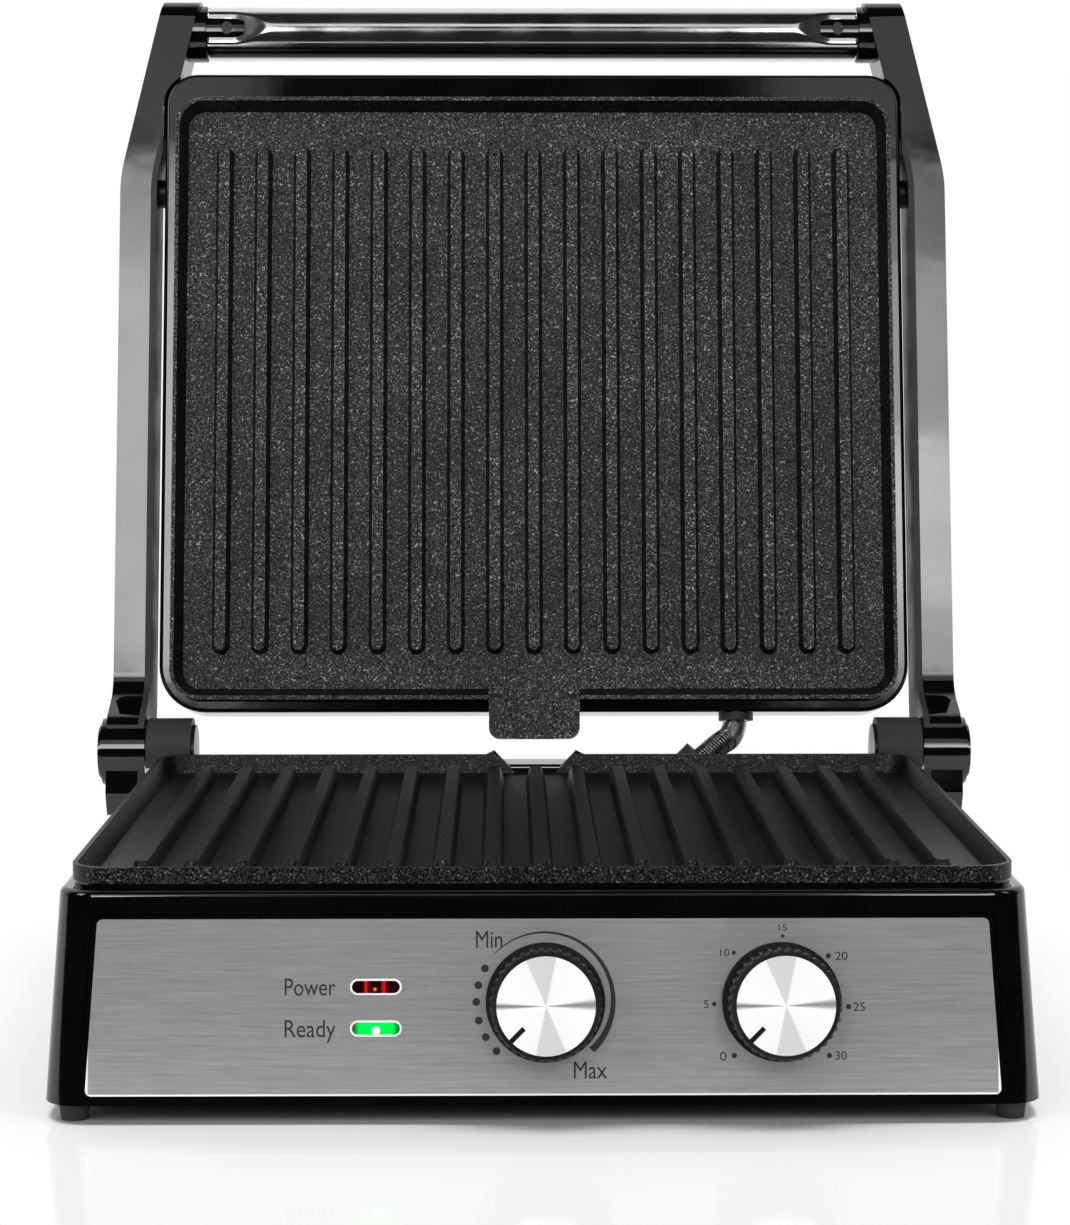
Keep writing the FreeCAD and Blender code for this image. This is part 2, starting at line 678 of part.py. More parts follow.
def base_shell():
    outer = base_layer(FOOT_HEIGHT, DECK_Z, 0)
    rim = [edge for edge in outer.Edges if edge.BoundBox.ZMin > DECK_Z - TINY]
    shell = outer.makeFillet(DECK_EDGE, rim)
    shell = shell.cut(base_layer(FOOT_HEIGHT - PAST, DECK_Z - BASE_WALL, BASE_WALL))
    inset = PLATE_LIP - BODY_GAP
    opening = slab(PLATE_HALF - inset, PLATE_FRONT + inset, PLATE_REAR - inset, PLATE_CORNER - inset,
                   DECK_Z - BASE_WALL - PAST, SEAT_Z + PAST)
    step = inset - COLLAR_WIDTH
    collar = slab(PLATE_HALF - step, PLATE_FRONT + step, PLATE_REAR - step, PLATE_CORNER - step,
                  DECK_Z - PAST, SEAT_Z)
    shell = shell.fuse(collar).cut(opening)
    corner = FASCIA_CORNER + SEAM
    window = face_prism(fascia_window(), [0, 0, corner, corner], -2 * BASE_WALL, PAST)
    shell = shell.cut(on_front(window))
    drain = block(-DRAIN_HALF, DRAIN_HALF, drain_front(), drain_front() + DRAIN_LENGTH,
                  DECK_Z - BASE_WALL - PAST, DECK_Z + PAST)
    mouth = block(-TRAY_HALF - TRAY_GAP, TRAY_HALF + TRAY_GAP, tray_front(), DECK_REAR + FAR,
                  COVER_TOP_Z, COVER_TOP_Z + 2 * TRAY_GAP + TRAY_HEIGHT)
    inlet = rod(INLET_RADIUS, vec(INLET_X, DECK_REAR - FAR / 2, INLET_Z), Y_AXIS, FAR)
    gland = rod(GLAND_RADIUS, conduit_base_point(-FAR / 2), conduit_lean(), FAR)
    shell = shell.cut(drain).cut(mouth).cut(inlet).cut(gland)
    inside = base_layer(COVER_TOP_Z, DECK_Z, BASE_WALL / 2)
    shell = shell.multiFuse([boss.common(inside) for boss in case_bosses()])
    return shell.cut(group(case_screw_shanks()))


def case_screw_places():
    side = DECK_HALF - CASE_SCREW_INSET
    middle = (PLATE_FRONT + PLATE_REAR) / 2
    front, rear = DECK_FRONT + CASE_SCREW_FRONT, DECK_REAR - CASE_SCREW_REAR
    return [(x, y) for x in (-side, side) for y in (front, middle, rear)]


def case_bosses():
    """Screw posts along the inside of the base's side walls."""
    bosses = []
    for x, y in case_screw_places():
        high = COVER_TOP_Z + CASE_POST_HEIGHT
        post = rod(CASE_POST_RADIUS, vec(x, y, COVER_TOP_Z), Z_AXIS, CASE_POST_HEIGHT)
        inner, outer = sorted((x, x + math.copysign(CASE_WEB_REACH, x)))
        web = block(inner, outer, y - CASE_WEB / 2, y + CASE_WEB / 2, COVER_TOP_Z, high)
        bosses.append(post.fuse(web))
    return bosses


def case_screw_shanks():
    places = case_screw_places()
    return [rod(CASE_SCREW_RADIUS, vec(x, y, COVER_BOTTOM_Z), Z_AXIS, CASE_SCREW_LENGTH) for x, y in places]


def case_screws():
    low = COVER_BOTTOM_Z - SCREW_HEAD
    heads = [rod(CASE_HEAD_RADIUS, vec(x, y, low), Z_AXIS, SCREW_HEAD) for x, y in case_screw_places()]
    return group([head.fuse(shank) for head, shank in zip(heads, case_screw_shanks())])


def bottom_cover():
    """Vented plate that closes the base from below."""
    cover = loft(base_outline(COVER_BOTTOM_Z, BASE_WALL + SEAM), base_outline(COVER_TOP_Z, BASE_WALL + SEAM))
    middle = (PLATE_FRONT + PLATE_REAR) / 2
    first = -(VENT_COUNT - 1) / 2 * VENT_PITCH
    vents = [
        vent(x0 + first + i * VENT_PITCH, middle - VENT_AHEAD)
        for x0 in (-VENT_X, VENT_X) for i in range(VENT_COUNT)
    ]
    return cover.cut(group(vents)).cut(group(case_screw_shanks()))


def vent(x, y):
    """A round-ended slot through the bottom cover."""
    half, reach = VENT_WIDTH / 2, VENT_LENGTH / 2
    points = [(x - half, y - reach), (x + half, y - reach), (x + half, y + reach), (x - half, y + reach)]
    return plan_prism(points, [half] * 4, COVER_BOTTOM_Z - PAST, COVER_TOP_Z + PAST)


def foot_places():
    x = DECK_HALF + SIDE_FLARE - FOOT_INSET
    front = DECK_FRONT - FRONT_FLARE + FOOT_INSET
    rear = DECK_REAR + REAR_FLARE - REAR_FOOT_INSET
    return [(side * x, y) for side in (-1, 1) for y in (front, rear)]


def rubber_feet():
    small = FOOT_RADIUS - FOOT_TAPER
    places = [vec(x, y, 0) for x, y in foot_places()]
    return group([Part.makeCone(small, FOOT_RADIUS, FOOT_HEIGHT, place, Z_AXIS) for place in places])


def front_holes():
    """Openings for the two shafts and the two lenses through the fascia and the panel."""
    low, high = -BASE_WALL - PAST, panel_back() + PANEL_THICKNESS + PAST
    holes = [front_rod(SHAFT_RADIUS + HOLE_GAP, place, low, high) for place in shaft_places()]
    slots = [pill(place, -LAMP_RIM, low, high) for place in lamp_places()]
    return group(holes + slots)


def front_fascia():
    fascia = face_prism(fascia_points(0), [0, 0, FASCIA_CORNER, FASCIA_CORNER], -BASE_WALL, 0)
    recess = face_prism(panel_points(), [PANEL_CORNER] * 4, panel_back(), PAST)
    return on_front(fascia.cut(recess).cut(front_holes()))


def front_panel():
    low, high = panel_back(), panel_back() + PANEL_THICKNESS
    return on_front(face_prism(panel_points(), [PANEL_CORNER] * 4, low, high).cut(front_holes()))


def lamp_bezels():
    face = panel_back() + PANEL_THICKNESS
    rims = []
    for place in lamp_places():
        rim = pill(place, 0, face, face + LAMP_PROUD)
        rim = rim.cut(pill(place, -LAMP_RIM, face - PAST, face + LAMP_PROUD + PAST))
        rims.append(on_front(rim))
    return group(rims)


def lens(place):
    face = panel_back() + PANEL_THICKNESS
    return on_front(pill(place, -LAMP_RIM, -LAMP_DEPTH, face + LAMP_PROUD - LENS_LOW))


def lamp_board():
    """Circuit board behind the two lenses."""
    half = LAMP_LENGTH / 2 + BOARD_MARGIN_X
    left, right = LAMP_X - half, LAMP_X + half
    low, high = READY_RISE - BOARD_MARGIN_Z, POWER_RISE + BOARD_MARGIN_Z
    points = [(left, low), (right, low), (right, high), (left, high)]
    board = face_prism(points, [BOARD_CORNER] * 4, -LAMP_DEPTH - BOARD_THICKNESS, -LAMP_DEPTH)
    legs = [front_rod(BOARD_LEG, (x, up), -LAMP_DEPTH, -BASE_WALL)
            for x in (left + BOARD_LEG_INSET, right - BOARD_LEG_INSET)
            for up in (low + BOARD_LEG_INSET, high - BOARD_LEG_INSET)]
    return on_front(board.multiFuse(legs))


def shaft_hole(place):
    return front_rod(SHAFT_RADIUS + RUNNING_GAP, place, -CONTROL_DEPTH - BASE_WALL - PAST, PAST)


def thermostat():
    """Capillary thermostat with the bush that its shaft turns in."""
    place = (TEMPERATURE_X, -KNOB_DROP)
    half = CONTROL_SIZE / 2
    points = [(place[0] - half, place[1] - half), (place[0] + half, place[1] - half),
              (place[0] + half, place[1] + half), (place[0] - half, place[1] + half)]
    back = -BASE_WALL - CONTROL_DEPTH
    case = face_prism(points, [CONTROL_CORNER] * 4, back, -BASE_WALL)
    pins = [front_rod(TERMINAL_PIN, (place[0] + x, place[1]), back - TERMINAL_PIN_LENGTH, back)
            for x in (-TERMINAL_PIN_X, TERMINAL_PIN_X)]
    return on_front(case.multiFuse(pins).cut(shaft_hole(place)))


def timer():
    """Clockwork timer, a round movement behind its fixing plate."""
    place = (TIMER_X, -KNOB_DROP)
    back = -BASE_WALL - CONTROL_DEPTH
    case = front_rod(TIMER_RADIUS, place, back, -BASE_WALL)
    bell = front_rod(TIMER_RADIUS + TIMER_BELL, place, back - TIMER_BELL_DEPTH, back)
    return on_front(case.fuse(bell).cut(shaft_hole(place)))


def control_shaft(place):
    high = knob_low() + KNOB_HEIGHT - KNOB_ROOF
    return on_front(front_rod(SHAFT_RADIUS, place, -BASE_WALL - CONTROL_DEPTH, high))


def knob_low():
    """Height of a knob's back over the front face."""
    return panel_back() + PANEL_THICKNESS + KNOB_GAP


def knob_grip(place):
    """Flanged knob with flutes round its grip and a seat for the face disc."""
    across, up = place
    low, high = knob_low(), knob_low() + KNOB_HEIGHT
    flange = front_rod(FLANGE_RADIUS, place, low, low + FLANGE_THICKNESS)
    grip = front_rod(GRIP_RADIUS, place, low, high)
    edge = [e for e in grip.Edges if e.BoundBox.YMax < -high + TINY]
    grip = grip.makeChamfer(KNOB_EDGE, edge)
    flutes = []
    for i in range(FLUTE_COUNT):
        turn = 2 * math.pi * i / FLUTE_COUNT
        orbit = GRIP_RADIUS + FLUTE_OUT
        spot = (across + orbit * math.cos(turn), up + orbit * math.sin(turn))
        flutes.append(front_rod(FLUTE_RADIUS, spot, low + FLANGE_THICKNESS, high + PAST))
    seat = front_rod(DISC_RADIUS, place, high - DISC_THICKNESS + DISC_PROUD, high + PAST)
    bore = front_rod(SHAFT_RADIUS, place, low - PAST, high - KNOB_ROOF)
    return on_front(grip.cut(group(flutes)).fuse(flange).cut(seat).cut(bore))


def knob_face(place):
    """Spun metal disc in the knob's seat, with the pointer's slot through it."""
    across, up = place
    high = knob_low() + KNOB_HEIGHT
    low = high - DISC_THICKNESS + DISC_PROUD
    disc = front_rod(DISC_RADIUS, place, low, high + DISC_PROUD)
    slot = block(across + DISC_RADIUS - POINTER_LENGTH, across + DISC_RADIUS + PAST,
                 -high - PAST, -low + PAST, up - POINTER_WIDTH / 2, up + POINTER_WIDTH / 2)
    slot.rotate(vec(across, 0, up), vec(0, -1, 0), POINTER_ANGLE)
    return on_front(disc.cut(slot))


def drain_front():
    return PLATE_REAR + DRAIN_SETBACK


def drain_chute():
    """Duct that takes the grease from the drain hole down into the tray."""
    top = DECK_Z - BASE_WALL
    y0, y1 = drain_front(), drain_front() + DRAIN_LENGTH
    half = DRAIN_HALF + CHUTE_WALL
    outer = block(-half, half, y0 - CHUTE_WALL, y1 + CHUTE_WALL, top - CHUTE_DROP, top)
    return outer.cut(block(-DRAIN_HALF, DRAIN_HALF, y0, y1, top - CHUTE_DROP - PAST, top + PAST))


def tray_front():
    return DECK_REAR + REAR_FLARE - TRAY_LENGTH


def drip_tray():
    """Open tray that pulls out at the back."""
    rear = DECK_REAR + REAR_FLARE
    low = COVER_TOP_Z + TRAY_GAP
    box = block(-TRAY_HALF, TRAY_HALF, tray_front() + TRAY_GAP, rear, low, low + TRAY_HEIGHT)
    upright = [edge for edge in box.Edges if edge.BoundBox.ZLength > TRAY_HEIGHT - TINY]
    box = box.makeFillet(TRAY_CORNER, [edge for edge in upright if edge.BoundBox.YMax < rear - TRAY_CORNER])
    half = TRAY_HALF - TRAY_WALL
    inside = block(-half, half, tray_front() + TRAY_GAP + TRAY_WALL, rear - TRAY_WALL,
                   low + TRAY_WALL, low + TRAY_HEIGHT + PAST)
    lip = block(-TRAY_HALF / 2, TRAY_HALF / 2, rear, rear + TRAY_LIP,
                low + TRAY_HEIGHT - TRAY_LIP_THICKNESS, low + TRAY_HEIGHT)
    return box.cut(inside).fuse(lip)


def terminal_block():
    front = DECK_REAR - TERMINAL_SETBACK
    half = TERMINAL_WIDTH / 2
    body = block(INLET_X - half, INLET_X + half, front, front + TERMINAL_LENGTH,
                 COVER_TOP_Z, COVER_TOP_Z + TERMINAL_HEIGHT)
    ways = [rod(TERMINAL_WAY_RADIUS, vec(INLET_X + x, front - PAST, COVER_TOP_Z + TERMINAL_WAY_Z), Y_AXIS,
                TERMINAL_LENGTH + 2 * PAST) for x in TERMINAL_WAYS]
    return body.cut(group(ways))


def cord_inlet():
    """Bush in the rear wall for the mains lead."""
    wall_y = DECK_REAR + REAR_FLARE * (DECK_Z - INLET_Z) / BASE_HEIGHT
    flange = rod(INLET_RADIUS + INLET_FLANGE, vec(INLET_X, wall_y + INLET_FLANGE_GAP, INLET_Z), Y_AXIS,
                 INLET_FLANGE_THICKNESS)
    sleeve = rod(INLET_RADIUS, vec(INLET_X, wall_y - INLET_SLEEVE_IN, INLET_Z), Y_AXIS,
                 INLET_SLEEVE_IN + INLET_SLEEVE_OUT)
    nose = Part.makeCone(INLET_RADIUS, INLET_RADIUS - INLET_TAPER, INLET_LENGTH - INLET_SLEEVE_IN,
                         vec(INLET_X, wall_y + INLET_SLEEVE_OUT, INLET_Z), Y_AXIS)
    bore = rod(INLET_BORE, vec(INLET_X, wall_y - FAR / 2, INLET_Z), Y_AXIS, FAR)
    return flange.multiFuse([sleeve, nose]).cut(bore)


# ---------------------------------------------------------------- hinge


def hinge_rod(radius, x0, x1):
    return rod(radius, vec(x0, HINGE_Y, HINGE_Z), X_AXIS, x1 - x0)


def hinge_tower():
    """Drum on a foot that stands on the deck and holds the hinge pin."""
    drum = hinge_rod(DRUM_RADIUS, TOWER_INNER, TOWER_OUTER)
    foot = block(TOWER_INNER, TOWER_OUTER, HINGE_Y - DRUM_RADIUS, HINGE_Y + DRUM_RADIUS, DECK_Z, HINGE_Z)
    bore = hinge_rod(PIN_RADIUS, TOWER_INNER + PIN_FLOOR, TOWER_OUTER + PAST)
    return drum.fuse(foot).cut(under_deck()).cut(bore).cut(stop_pin())


def under_deck():
    """What lies below the deck round a hinge tower."""
    return block(TOWER_INNER - FAR, TOWER_OUTER + FAR, HINGE_Y - FAR, HINGE_Y + FAR, DECK_Z - FAR, DECK_Z)


def tower_cap():
    return hinge_rod(CAP_RADIUS, TOWER_INNER - CAP_THICKNESS, TOWER_INNER).cut(under_deck())


def hinge_pin():
    return hinge_rod(PIN_RADIUS, TOWER_INNER + PIN_FLOOR, DRUM_OUTER - PIN_ROOF - PIN_END_GAP)


def stop_pin():
    """Pin in the tower that runs in the arm's curved slot and ends its swing both ways."""
    turn = math.radians(STOP_ANGLE)
    y = HINGE_Y + STOP_ORBIT * math.cos(turn)
    z = HINGE_Z + STOP_ORBIT * math.sin(turn)
    length = STOP_SOCKET + ARM_GAP + STOP_DEPTH - STOP_END_GAP
    return rod(STOP_RADIUS, vec(TOWER_OUTER - STOP_SOCKET, y, z), X_AXIS, length)


def stop_slot():
    """The curved slot, as it lies in the shut arm."""
    spare = math.degrees(math.asin((STOP_RADIUS + STOP_SLOT_SPARE) / STOP_ORBIT))
    reach = STOP_RADIUS + STOP_SLOT_GAP
    sweep = OPEN_ANGLE + 2 * spare
    mouth, floor = DRUM_INNER - PAST, DRUM_INNER + STOP_DEPTH
    near, distant = STOP_ORBIT - reach, STOP_ORBIT + reach
    profile = ((mouth, near), (floor, near), (floor, distant), (mouth, distant))
    corners = [vec(x, HINGE_Y + radius, HINGE_Z) for x, radius in profile]
    section = Part.Face(Part.makePolygon(corners + corners[:1]))
    section.rotate(HINGE_POINT, X_AXIS, STOP_ANGLE - spare)
    return section.revolve(HINGE_POINT, X_AXIS, sweep)


# ---------------------------------------------------------------- arms and handle


def arm_side(inset):
    """The arm seen from the side, shut: heel, drum and the long bar to the handle."""
    low, high = ARM_LOW_Z + inset, ARM_LOW_Z + ARM_DEPTH - inset
    heel = HINGE_Y + ARM_HEEL - inset
    heel_low = HINGE_Z - DRUM_RADIUS + ARM_HEEL_RISE + inset
    neck = HINGE_Y - ARM_NECK
    points = [
        (ARM_END + inset, low),
        (neck - ARM_NECK_RUN, low),
        (neck, heel_low),
        (heel - ARM_HEEL_CUT, heel_low),
        (heel, HINGE_Z - ARM_HEEL_LOW),
        (heel - ARM_HEEL_LEAN, HINGE_Z + ARM_HEEL_HIGH - inset),
        (HINGE_Y - ARM_BACK, high),
        (ARM_END + inset, high),
    ]
    tip = ARM_TIP_CORNER - inset
    return points, [tip, ARM_BELLY_RADIUS, ARM_NECK_RADIUS, *ARM_HEEL_RADII, ARM_BACK_RADIUS, tip]


def arm_plan(outer_inset, inner_inset):
    """The arm seen from above: it bends inward to the handle."""
    heel = HINGE_Y + ARM_HEEL + PAST
    outer, inner = ARM_OUTER - outer_inset, ARM_INNER + inner_inset
    end = ARM_END - PAST
    drop = BEND_INSET / (BEND_START - ARM_END) * (BEND_START - end)
    return [(inner, heel), (outer, heel), (outer, BEND_START),
            (outer - drop, end), (inner - drop, end), (inner, BEND_START)]


def arm_solid(side_inset, outer_inset, inner_inset):
    """A slice of the arm, hollowed where the lid's front corner passes it."""
    points, radii = arm_side(side_inset)
    side = side_prism(points, radii, ARM_INNER - FAR, ARM_OUTER + FAR)
    low, high = ARM_LOW_Z - FAR, ARM_LOW_Z + FAR
    bends = [0, 0, ARM_BEND_RADIUS, 0, 0, ARM_BEND_RADIUS]
    plan = plan_prism(arm_plan(outer_inset, inner_inset), bends, low, high)
    passing = lid_slab(-CORNER_CLEAR, low, high)
    return side.common(plan).cut(passing)


def handle_rod(radius, x0, x1):
    return rod(radius, vec(x0, HANDLE_Y, ARM_MID_Z), X_AXIS, x1 - x0)


def pivot_rod(radius, x0, x1):
    return rod(radius, vec(x0, PIVOT_Y, PIVOT_Z), X_AXIS, x1 - x0)


def arm_shell():
    """Outer part of the arm, with the hinge drum, hollow between its bosses."""
    arm = arm_solid(0, 0, 0).cut(arm_liner_strip())
    drum = hinge_rod(DRUM_RADIUS, DRUM_INNER, DRUM_OUTER)
    hollow = arm_solid(ARM_WALL, ARM_WALL, 0)
    left, right = ARM_INNER - FAR, ARM_OUTER + FAR
    boss = pivot_rod(PIVOT_HEAD + PIVOT_BOSS, left, right)
    solid_end = block(left, right, ARM_END - PAST, HANDLE_Y + ARM_SOLID_END, ARM_LOW_Z, ARM_LOW_Z + ARM_DEPTH)
    hollow = hollow.cut(hinge_rod(DRUM_RADIUS, left, right)).cut(boss).cut(solid_end)
    arm = arm.cut(hollow).fuse(drum)
    bore = hinge_rod(PIN_RADIUS + RUNNING_GAP, DRUM_INNER - PAST, DRUM_OUTER - PIN_ROOF)
    arm = arm.cut(bore).cut(stop_slot())
    seat = ARM_OUTER - PIVOT_HEAD_SEAT
    arm = arm.cut(pivot_rod(PIVOT_RADIUS, left, seat)).cut(pivot_rod(PIVOT_HEAD, seat, right))
    return arm.cut(handle_socket())


def arm_liner_strip():
    """The arm's inner skin behind its solid front end."""
    low, high = ARM_LOW_Z - FAR, ARM_LOW_Z + FAR
    ahead = block(ARM_INNER - FAR, ARM_OUTER + FAR, ARM_END - FAR, LINER_FRONT, low, high)
    return arm_solid(0, 0, 0).cut(ahead).cut(arm_solid(-PAST, -PAST, LINER))


def arm_liner():
    """Inner cover strip of the arm, between the hinge drum and the bend."""
    strip = arm_liner_strip().cut(hinge_rod(DRUM_RADIUS, DRUM_INNER - FAR, DRUM_OUTER + FAR))
    return strip.cut(pivot_rod(PIVOT_RADIUS, ARM_INNER - FAR, ARM_OUTER)).cut(pivot_seat())


def pivot_seat():
    """Room for the lid's bush where the arm begins to bend."""
    return pivot_rod(PIVOT_RADIUS + BUSH_WALL + BUSH_SEAT_GAP, ARM_INNER - FAR, ARM_INNER)


def hinge_cap():
    return hinge_rod(CAP_RADIUS, DRUM_OUTER, DRUM_OUTER + CAP_THICKNESS)


def pivot_bolt():
    seat = ARM_OUTER - PIVOT_HEAD_SEAT
    shank = pivot_rod(PIVOT_RADIUS, LID_HALF - BUSH_LENGTH + PIVOT_END_GAP, seat)
    return shank.fuse(pivot_rod(PIVOT_HEAD, seat, ARM_OUTER - PIVOT_CAP_SEAT))


def pivot_cap():
    return pivot_rod(PIVOT_HEAD, ARM_OUTER - PIVOT_CAP_SEAT, ARM_OUTER - PIVOT_CAP_LOW)


def handle_socket():
    """Collar between the arm and the tube, with the spigot that the tube slides over."""
    collar = handle_rod(SOCKET_RADIUS, HANDLE_HALF, HANDLE_HALF + SOCKET_LENGTH)
    spigot = handle_rod(HANDLE_RADIUS - HANDLE_WALL, HANDLE_HALF - SPIGOT, HANDLE_HALF)
    return collar.fuse(spigot).cut(handle_screw())


def handle_screw_shank():
    x = HANDLE_HALF - HANDLE_SCREW_INSET
    low = ARM_MID_Z - HANDLE_RADIUS + HANDLE_SCREW_HEAD / 2
    return rod(SCREW_RADIUS, vec(x, HANDLE_Y, low), Z_AXIS, HANDLE_SCREW_LENGTH)


def handle_screw():
    x = HANDLE_HALF - HANDLE_SCREW_INSET
    low = ARM_MID_Z - HANDLE_RADIUS - HANDLE_SCREW_PROUD
    head = Part.makeCone(SCREW_HEAD_RADIUS, SCREW_RADIUS, HANDLE_SCREW_HEAD, vec(x, HANDLE_Y, low), Z_AXIS)
    return head.fuse(handle_screw_shank())


def handle_tube():
    inside = handle_rod(HANDLE_RADIUS - HANDLE_WALL, -HANDLE_HALF, HANDLE_HALF)
    tube = handle_rod(HANDLE_RADIUS, -HANDLE_HALF, HANDLE_HALF).cut(inside)
    return tube.cut(handle_screw()).cut(other_side(handle_screw()))


# ---------------------------------------------------------------- lid


def lid_outline(z, inset):
    return outline(LID_HALF - inset, LID_FRONT + inset, LID_REAR - inset, LID_FRONT_CORNER - inset, z,
                   LID_REAR_CORNER - inset)


def lid_slab(inset, low, high):
    return Part.Face(lid_outline(low, inset)).extrude(vec(0, 0, high - low))


def lid_shell():
    """Frame that holds the upper plate and its pivot bushes."""
    frame = lid_slab(0, LID_SEAT_Z, LID_TOP_Z)
    low_edge = [edge for edge in frame.Edges if edge.BoundBox.ZMax < LID_SEAT_Z + TINY]
    inside = lid_slab(LID_WALL, LID_SEAT_Z + LID_WALL, LID_TOP_Z + PAST)
    frame = frame.makeFillet(LID_EDGE, low_edge).cut(inside)
    inset = PLATE_LIP - BODY_GAP
    opening = slab(PLATE_HALF - inset, PLATE_FRONT + inset, PLATE_REAR - inset, PLATE_CORNER - inset,
                   LID_SEAT_Z - PAST, LID_SEAT_Z + LID_WALL + PAST)
    frame = frame.cut(opening)
    boss = pivot_rod(PIVOT_RADIUS + BUSH_WALL + BOSS_WALL, LID_HALF - BUSH_LENGTH, LID_HALF - LID_WALL / 2)
    frame = frame.multiFuse([boss, other_side(boss)])
    holes = [pivot_rod(PIVOT_RADIUS + BUSH_WALL, LID_HALF - FAR, LID_HALF + PAST)]
    holes.append(other_side(holes[0]))
    holes.append(rod(GLAND_RADIUS, conduit_lid_point(-LID_WALL - GLAND_SPARE), Y_AXIS, FAR))
    return frame.cut(group(holes))


def pivot_bush():
    outer, inner = PIVOT_RADIUS + BUSH_WALL, PIVOT_RADIUS + RUNNING_GAP
    sleeve = pivot_rod(outer, LID_HALF - BUSH_LENGTH, ARM_INNER - BUSH_END_GAP)
    return sleeve.cut(pivot_rod(inner, LID_HALF - FAR, LID_HALF + FAR))


def lid_cover():
    """Sheet steel back of the lid, drawn in towards its flat top."""
    low, high = LID_TOP_Z, LID_TOP_Z + COVER_DEPTH
    outer = loft(lid_outline(low, COVER_STEP), lid_outline(high, COVER_TAPER))
    edge = [e for e in outer.Edges if e.BoundBox.ZMin > high - TINY]
    outer = outer.makeFillet(COVER_EDGE, edge)
    inner = loft(lid_outline(low - COVER_LAP, COVER_STEP + COVER_SHEET),
                 lid_outline(high - COVER_SHEET, COVER_TAPER + COVER_SHEET))
    return outer.cut(inner)


# ---------------------------------------------------------------- conduit


def conduit_lean():
    """The way the conduit leaves the deck, leaning towards the lid's gland."""
    lean = math.radians(CONDUIT_LEAN)
    return vec(math.sin(lean), 0, math.cos(lean))


def conduit_base_point(ahead):
    """A point on the deck gland's axis, ahead of where it crosses the deck."""
    return vec(CONDUIT_BASE_X, PLATE_REAR + CONDUIT_BACK, DECK_Z) + conduit_lean() * ahead


def conduit_lid_point(ahead):
    """A point on the lid gland's axis, shut, ahead of the lid's rear face."""
    return vec(CONDUIT_LID_X, LID_REAR + ahead, LID_SEAT_Z + CONDUIT_RISE)


def lid_gland():
    inside = LID_WALL + GLAND_SPARE
    length = inside + GLAND_PROUD
    return ring(GLAND_RADIUS, CONDUIT_RADIUS + LID_GLAND_GAP, conduit_lid_point(-inside), Y_AXIS, length)


def base_gland():
    """Leaning bush in the deck, cut off level with the deck's underside."""
    sleeve = rod(GLAND_RADIUS, conduit_base_point(-CONDUIT_RUN), conduit_lean(), CONDUIT_RUN)
    collar = rod(GLAND_RADIUS + GLAND_COLLAR, conduit_base_point(-CONDUIT_RUN), conduit_lean(),
                 CONDUIT_RUN + GLAND_COLLAR_HEIGHT)
    x, y = CONDUIT_BASE_X, PLATE_REAR + CONDUIT_BACK
    above = block(x - FAR, x + FAR, y - FAR, y + FAR, DECK_Z, DECK_Z + FAR)
    below = block(x - FAR, x + FAR, y - FAR, y + FAR, DECK_Z - FAR, DECK_Z - BASE_WALL)
    bore = rod(CONDUIT_RADIUS, conduit_base_point(-FAR), conduit_lean(), 2 * FAR)
    return sleeve.fuse(collar.common(above)).cut(below).cut(bore)


def conduit():
    """Spring sleeve over the leads, from the deck up into the open lid."""
    points = [
        conduit_base_point(-CONDUIT_RUN),
        conduit_base_point(CONDUIT_RUN),
        swung_open_point(conduit_lid_point(GLAND_PROUD + CONDUIT_DROP)),
        swung_open_point(conduit_lid_point(-LID_WALL)),
    ]
    edges, last = [], points[0]
    for before, corner, after in zip(points, points[1:], points[2:]):
        back, ahead = (before - corner), (after - corner)
        reach = CONDUIT_BEND * min(back.Length, ahead.Length)
        back.normalize()
        ahead.normalize()
        half_angle = math.acos(back.dot(ahead)) / 2
        radius = reach * math.tan(half_angle)
        inward = (back + ahead).normalize()
        middle = corner + inward * (radius / math.sin(half_angle) - radius)
        start, end = corner + back * reach, corner + ahead * reach
        edges.append(Part.LineSegment(last, start).toShape())
        edges.append(Part.Arc(start, middle, end).toShape())
        last = end
        print("conduit bend radius", round(radius, 1))
    edges.append(Part.LineSegment(last, points[-1]).toShape())
    circle = Part.Wire([Part.Circle(points[0], conduit_lean(), CONDUIT_RADIUS).toShape()])
    return Part.Wire(edges).makePipeShell([circle], True, True)


def swung_open_point(point):
    return swung_open(Part.Vertex(point)).Point


# ---------------------------------------------------------------- the whole grill


def base_pieces():
    return {
        "base_shell": base_shell(),
        "bottom_cover": bottom_cover(),
        "rubber_feet": rubber_feet(),
        "case_screws": case_screws(),
        "front_fascia": front_fascia(),
        "front_panel": front_panel(),
        "lamp_bezels": lamp_bezels(),
        "power_lens": lens((LAMP_X, POWER_RISE)),
        "ready_lens": lens((LAMP_X, READY_RISE)),
        "lamp_board": lamp_board(),
        "thermostat": thermostat(),
        "timer": timer(),
        "terminal_block": terminal_block(),
        "cord_inlet": cord_inlet(),
        "drain_chute": drain_chute(),
        "lower_plate": lower_plate(),
        "lower_heater": heater_tube(),
        "lower_reflector": lower_reflector(),
        "lower_plate_screws": plate_screws(),
        "thermal_fuse": thermal_fuse(),
        "hinge_tower_left": other_side(hinge_tower()),
        "hinge_tower_right": hinge_tower(),
        "tower_caps": pair(tower_cap()),
        "hinge_pins": pair(hinge_pin()),
        "stop_pins": pair(stop_pin()),
        "base_gland": base_gland(),
        "conduit": conduit(),
    }


def knob_pieces():
    temperature = (TEMPERATURE_X, -KNOB_DROP)
    timing = (TIMER_X, -KNOB_DROP)
    return {
        "temperature_knob": knob_grip(temperature),
        "temperature_knob_face": knob_face(temperature),
        "temperature_shaft": control_shaft(temperature),
        "timer_knob": knob_grip(timing),
        "timer_knob_face": knob_face(timing),
        "timer_shaft": control_shaft(timing),
    }


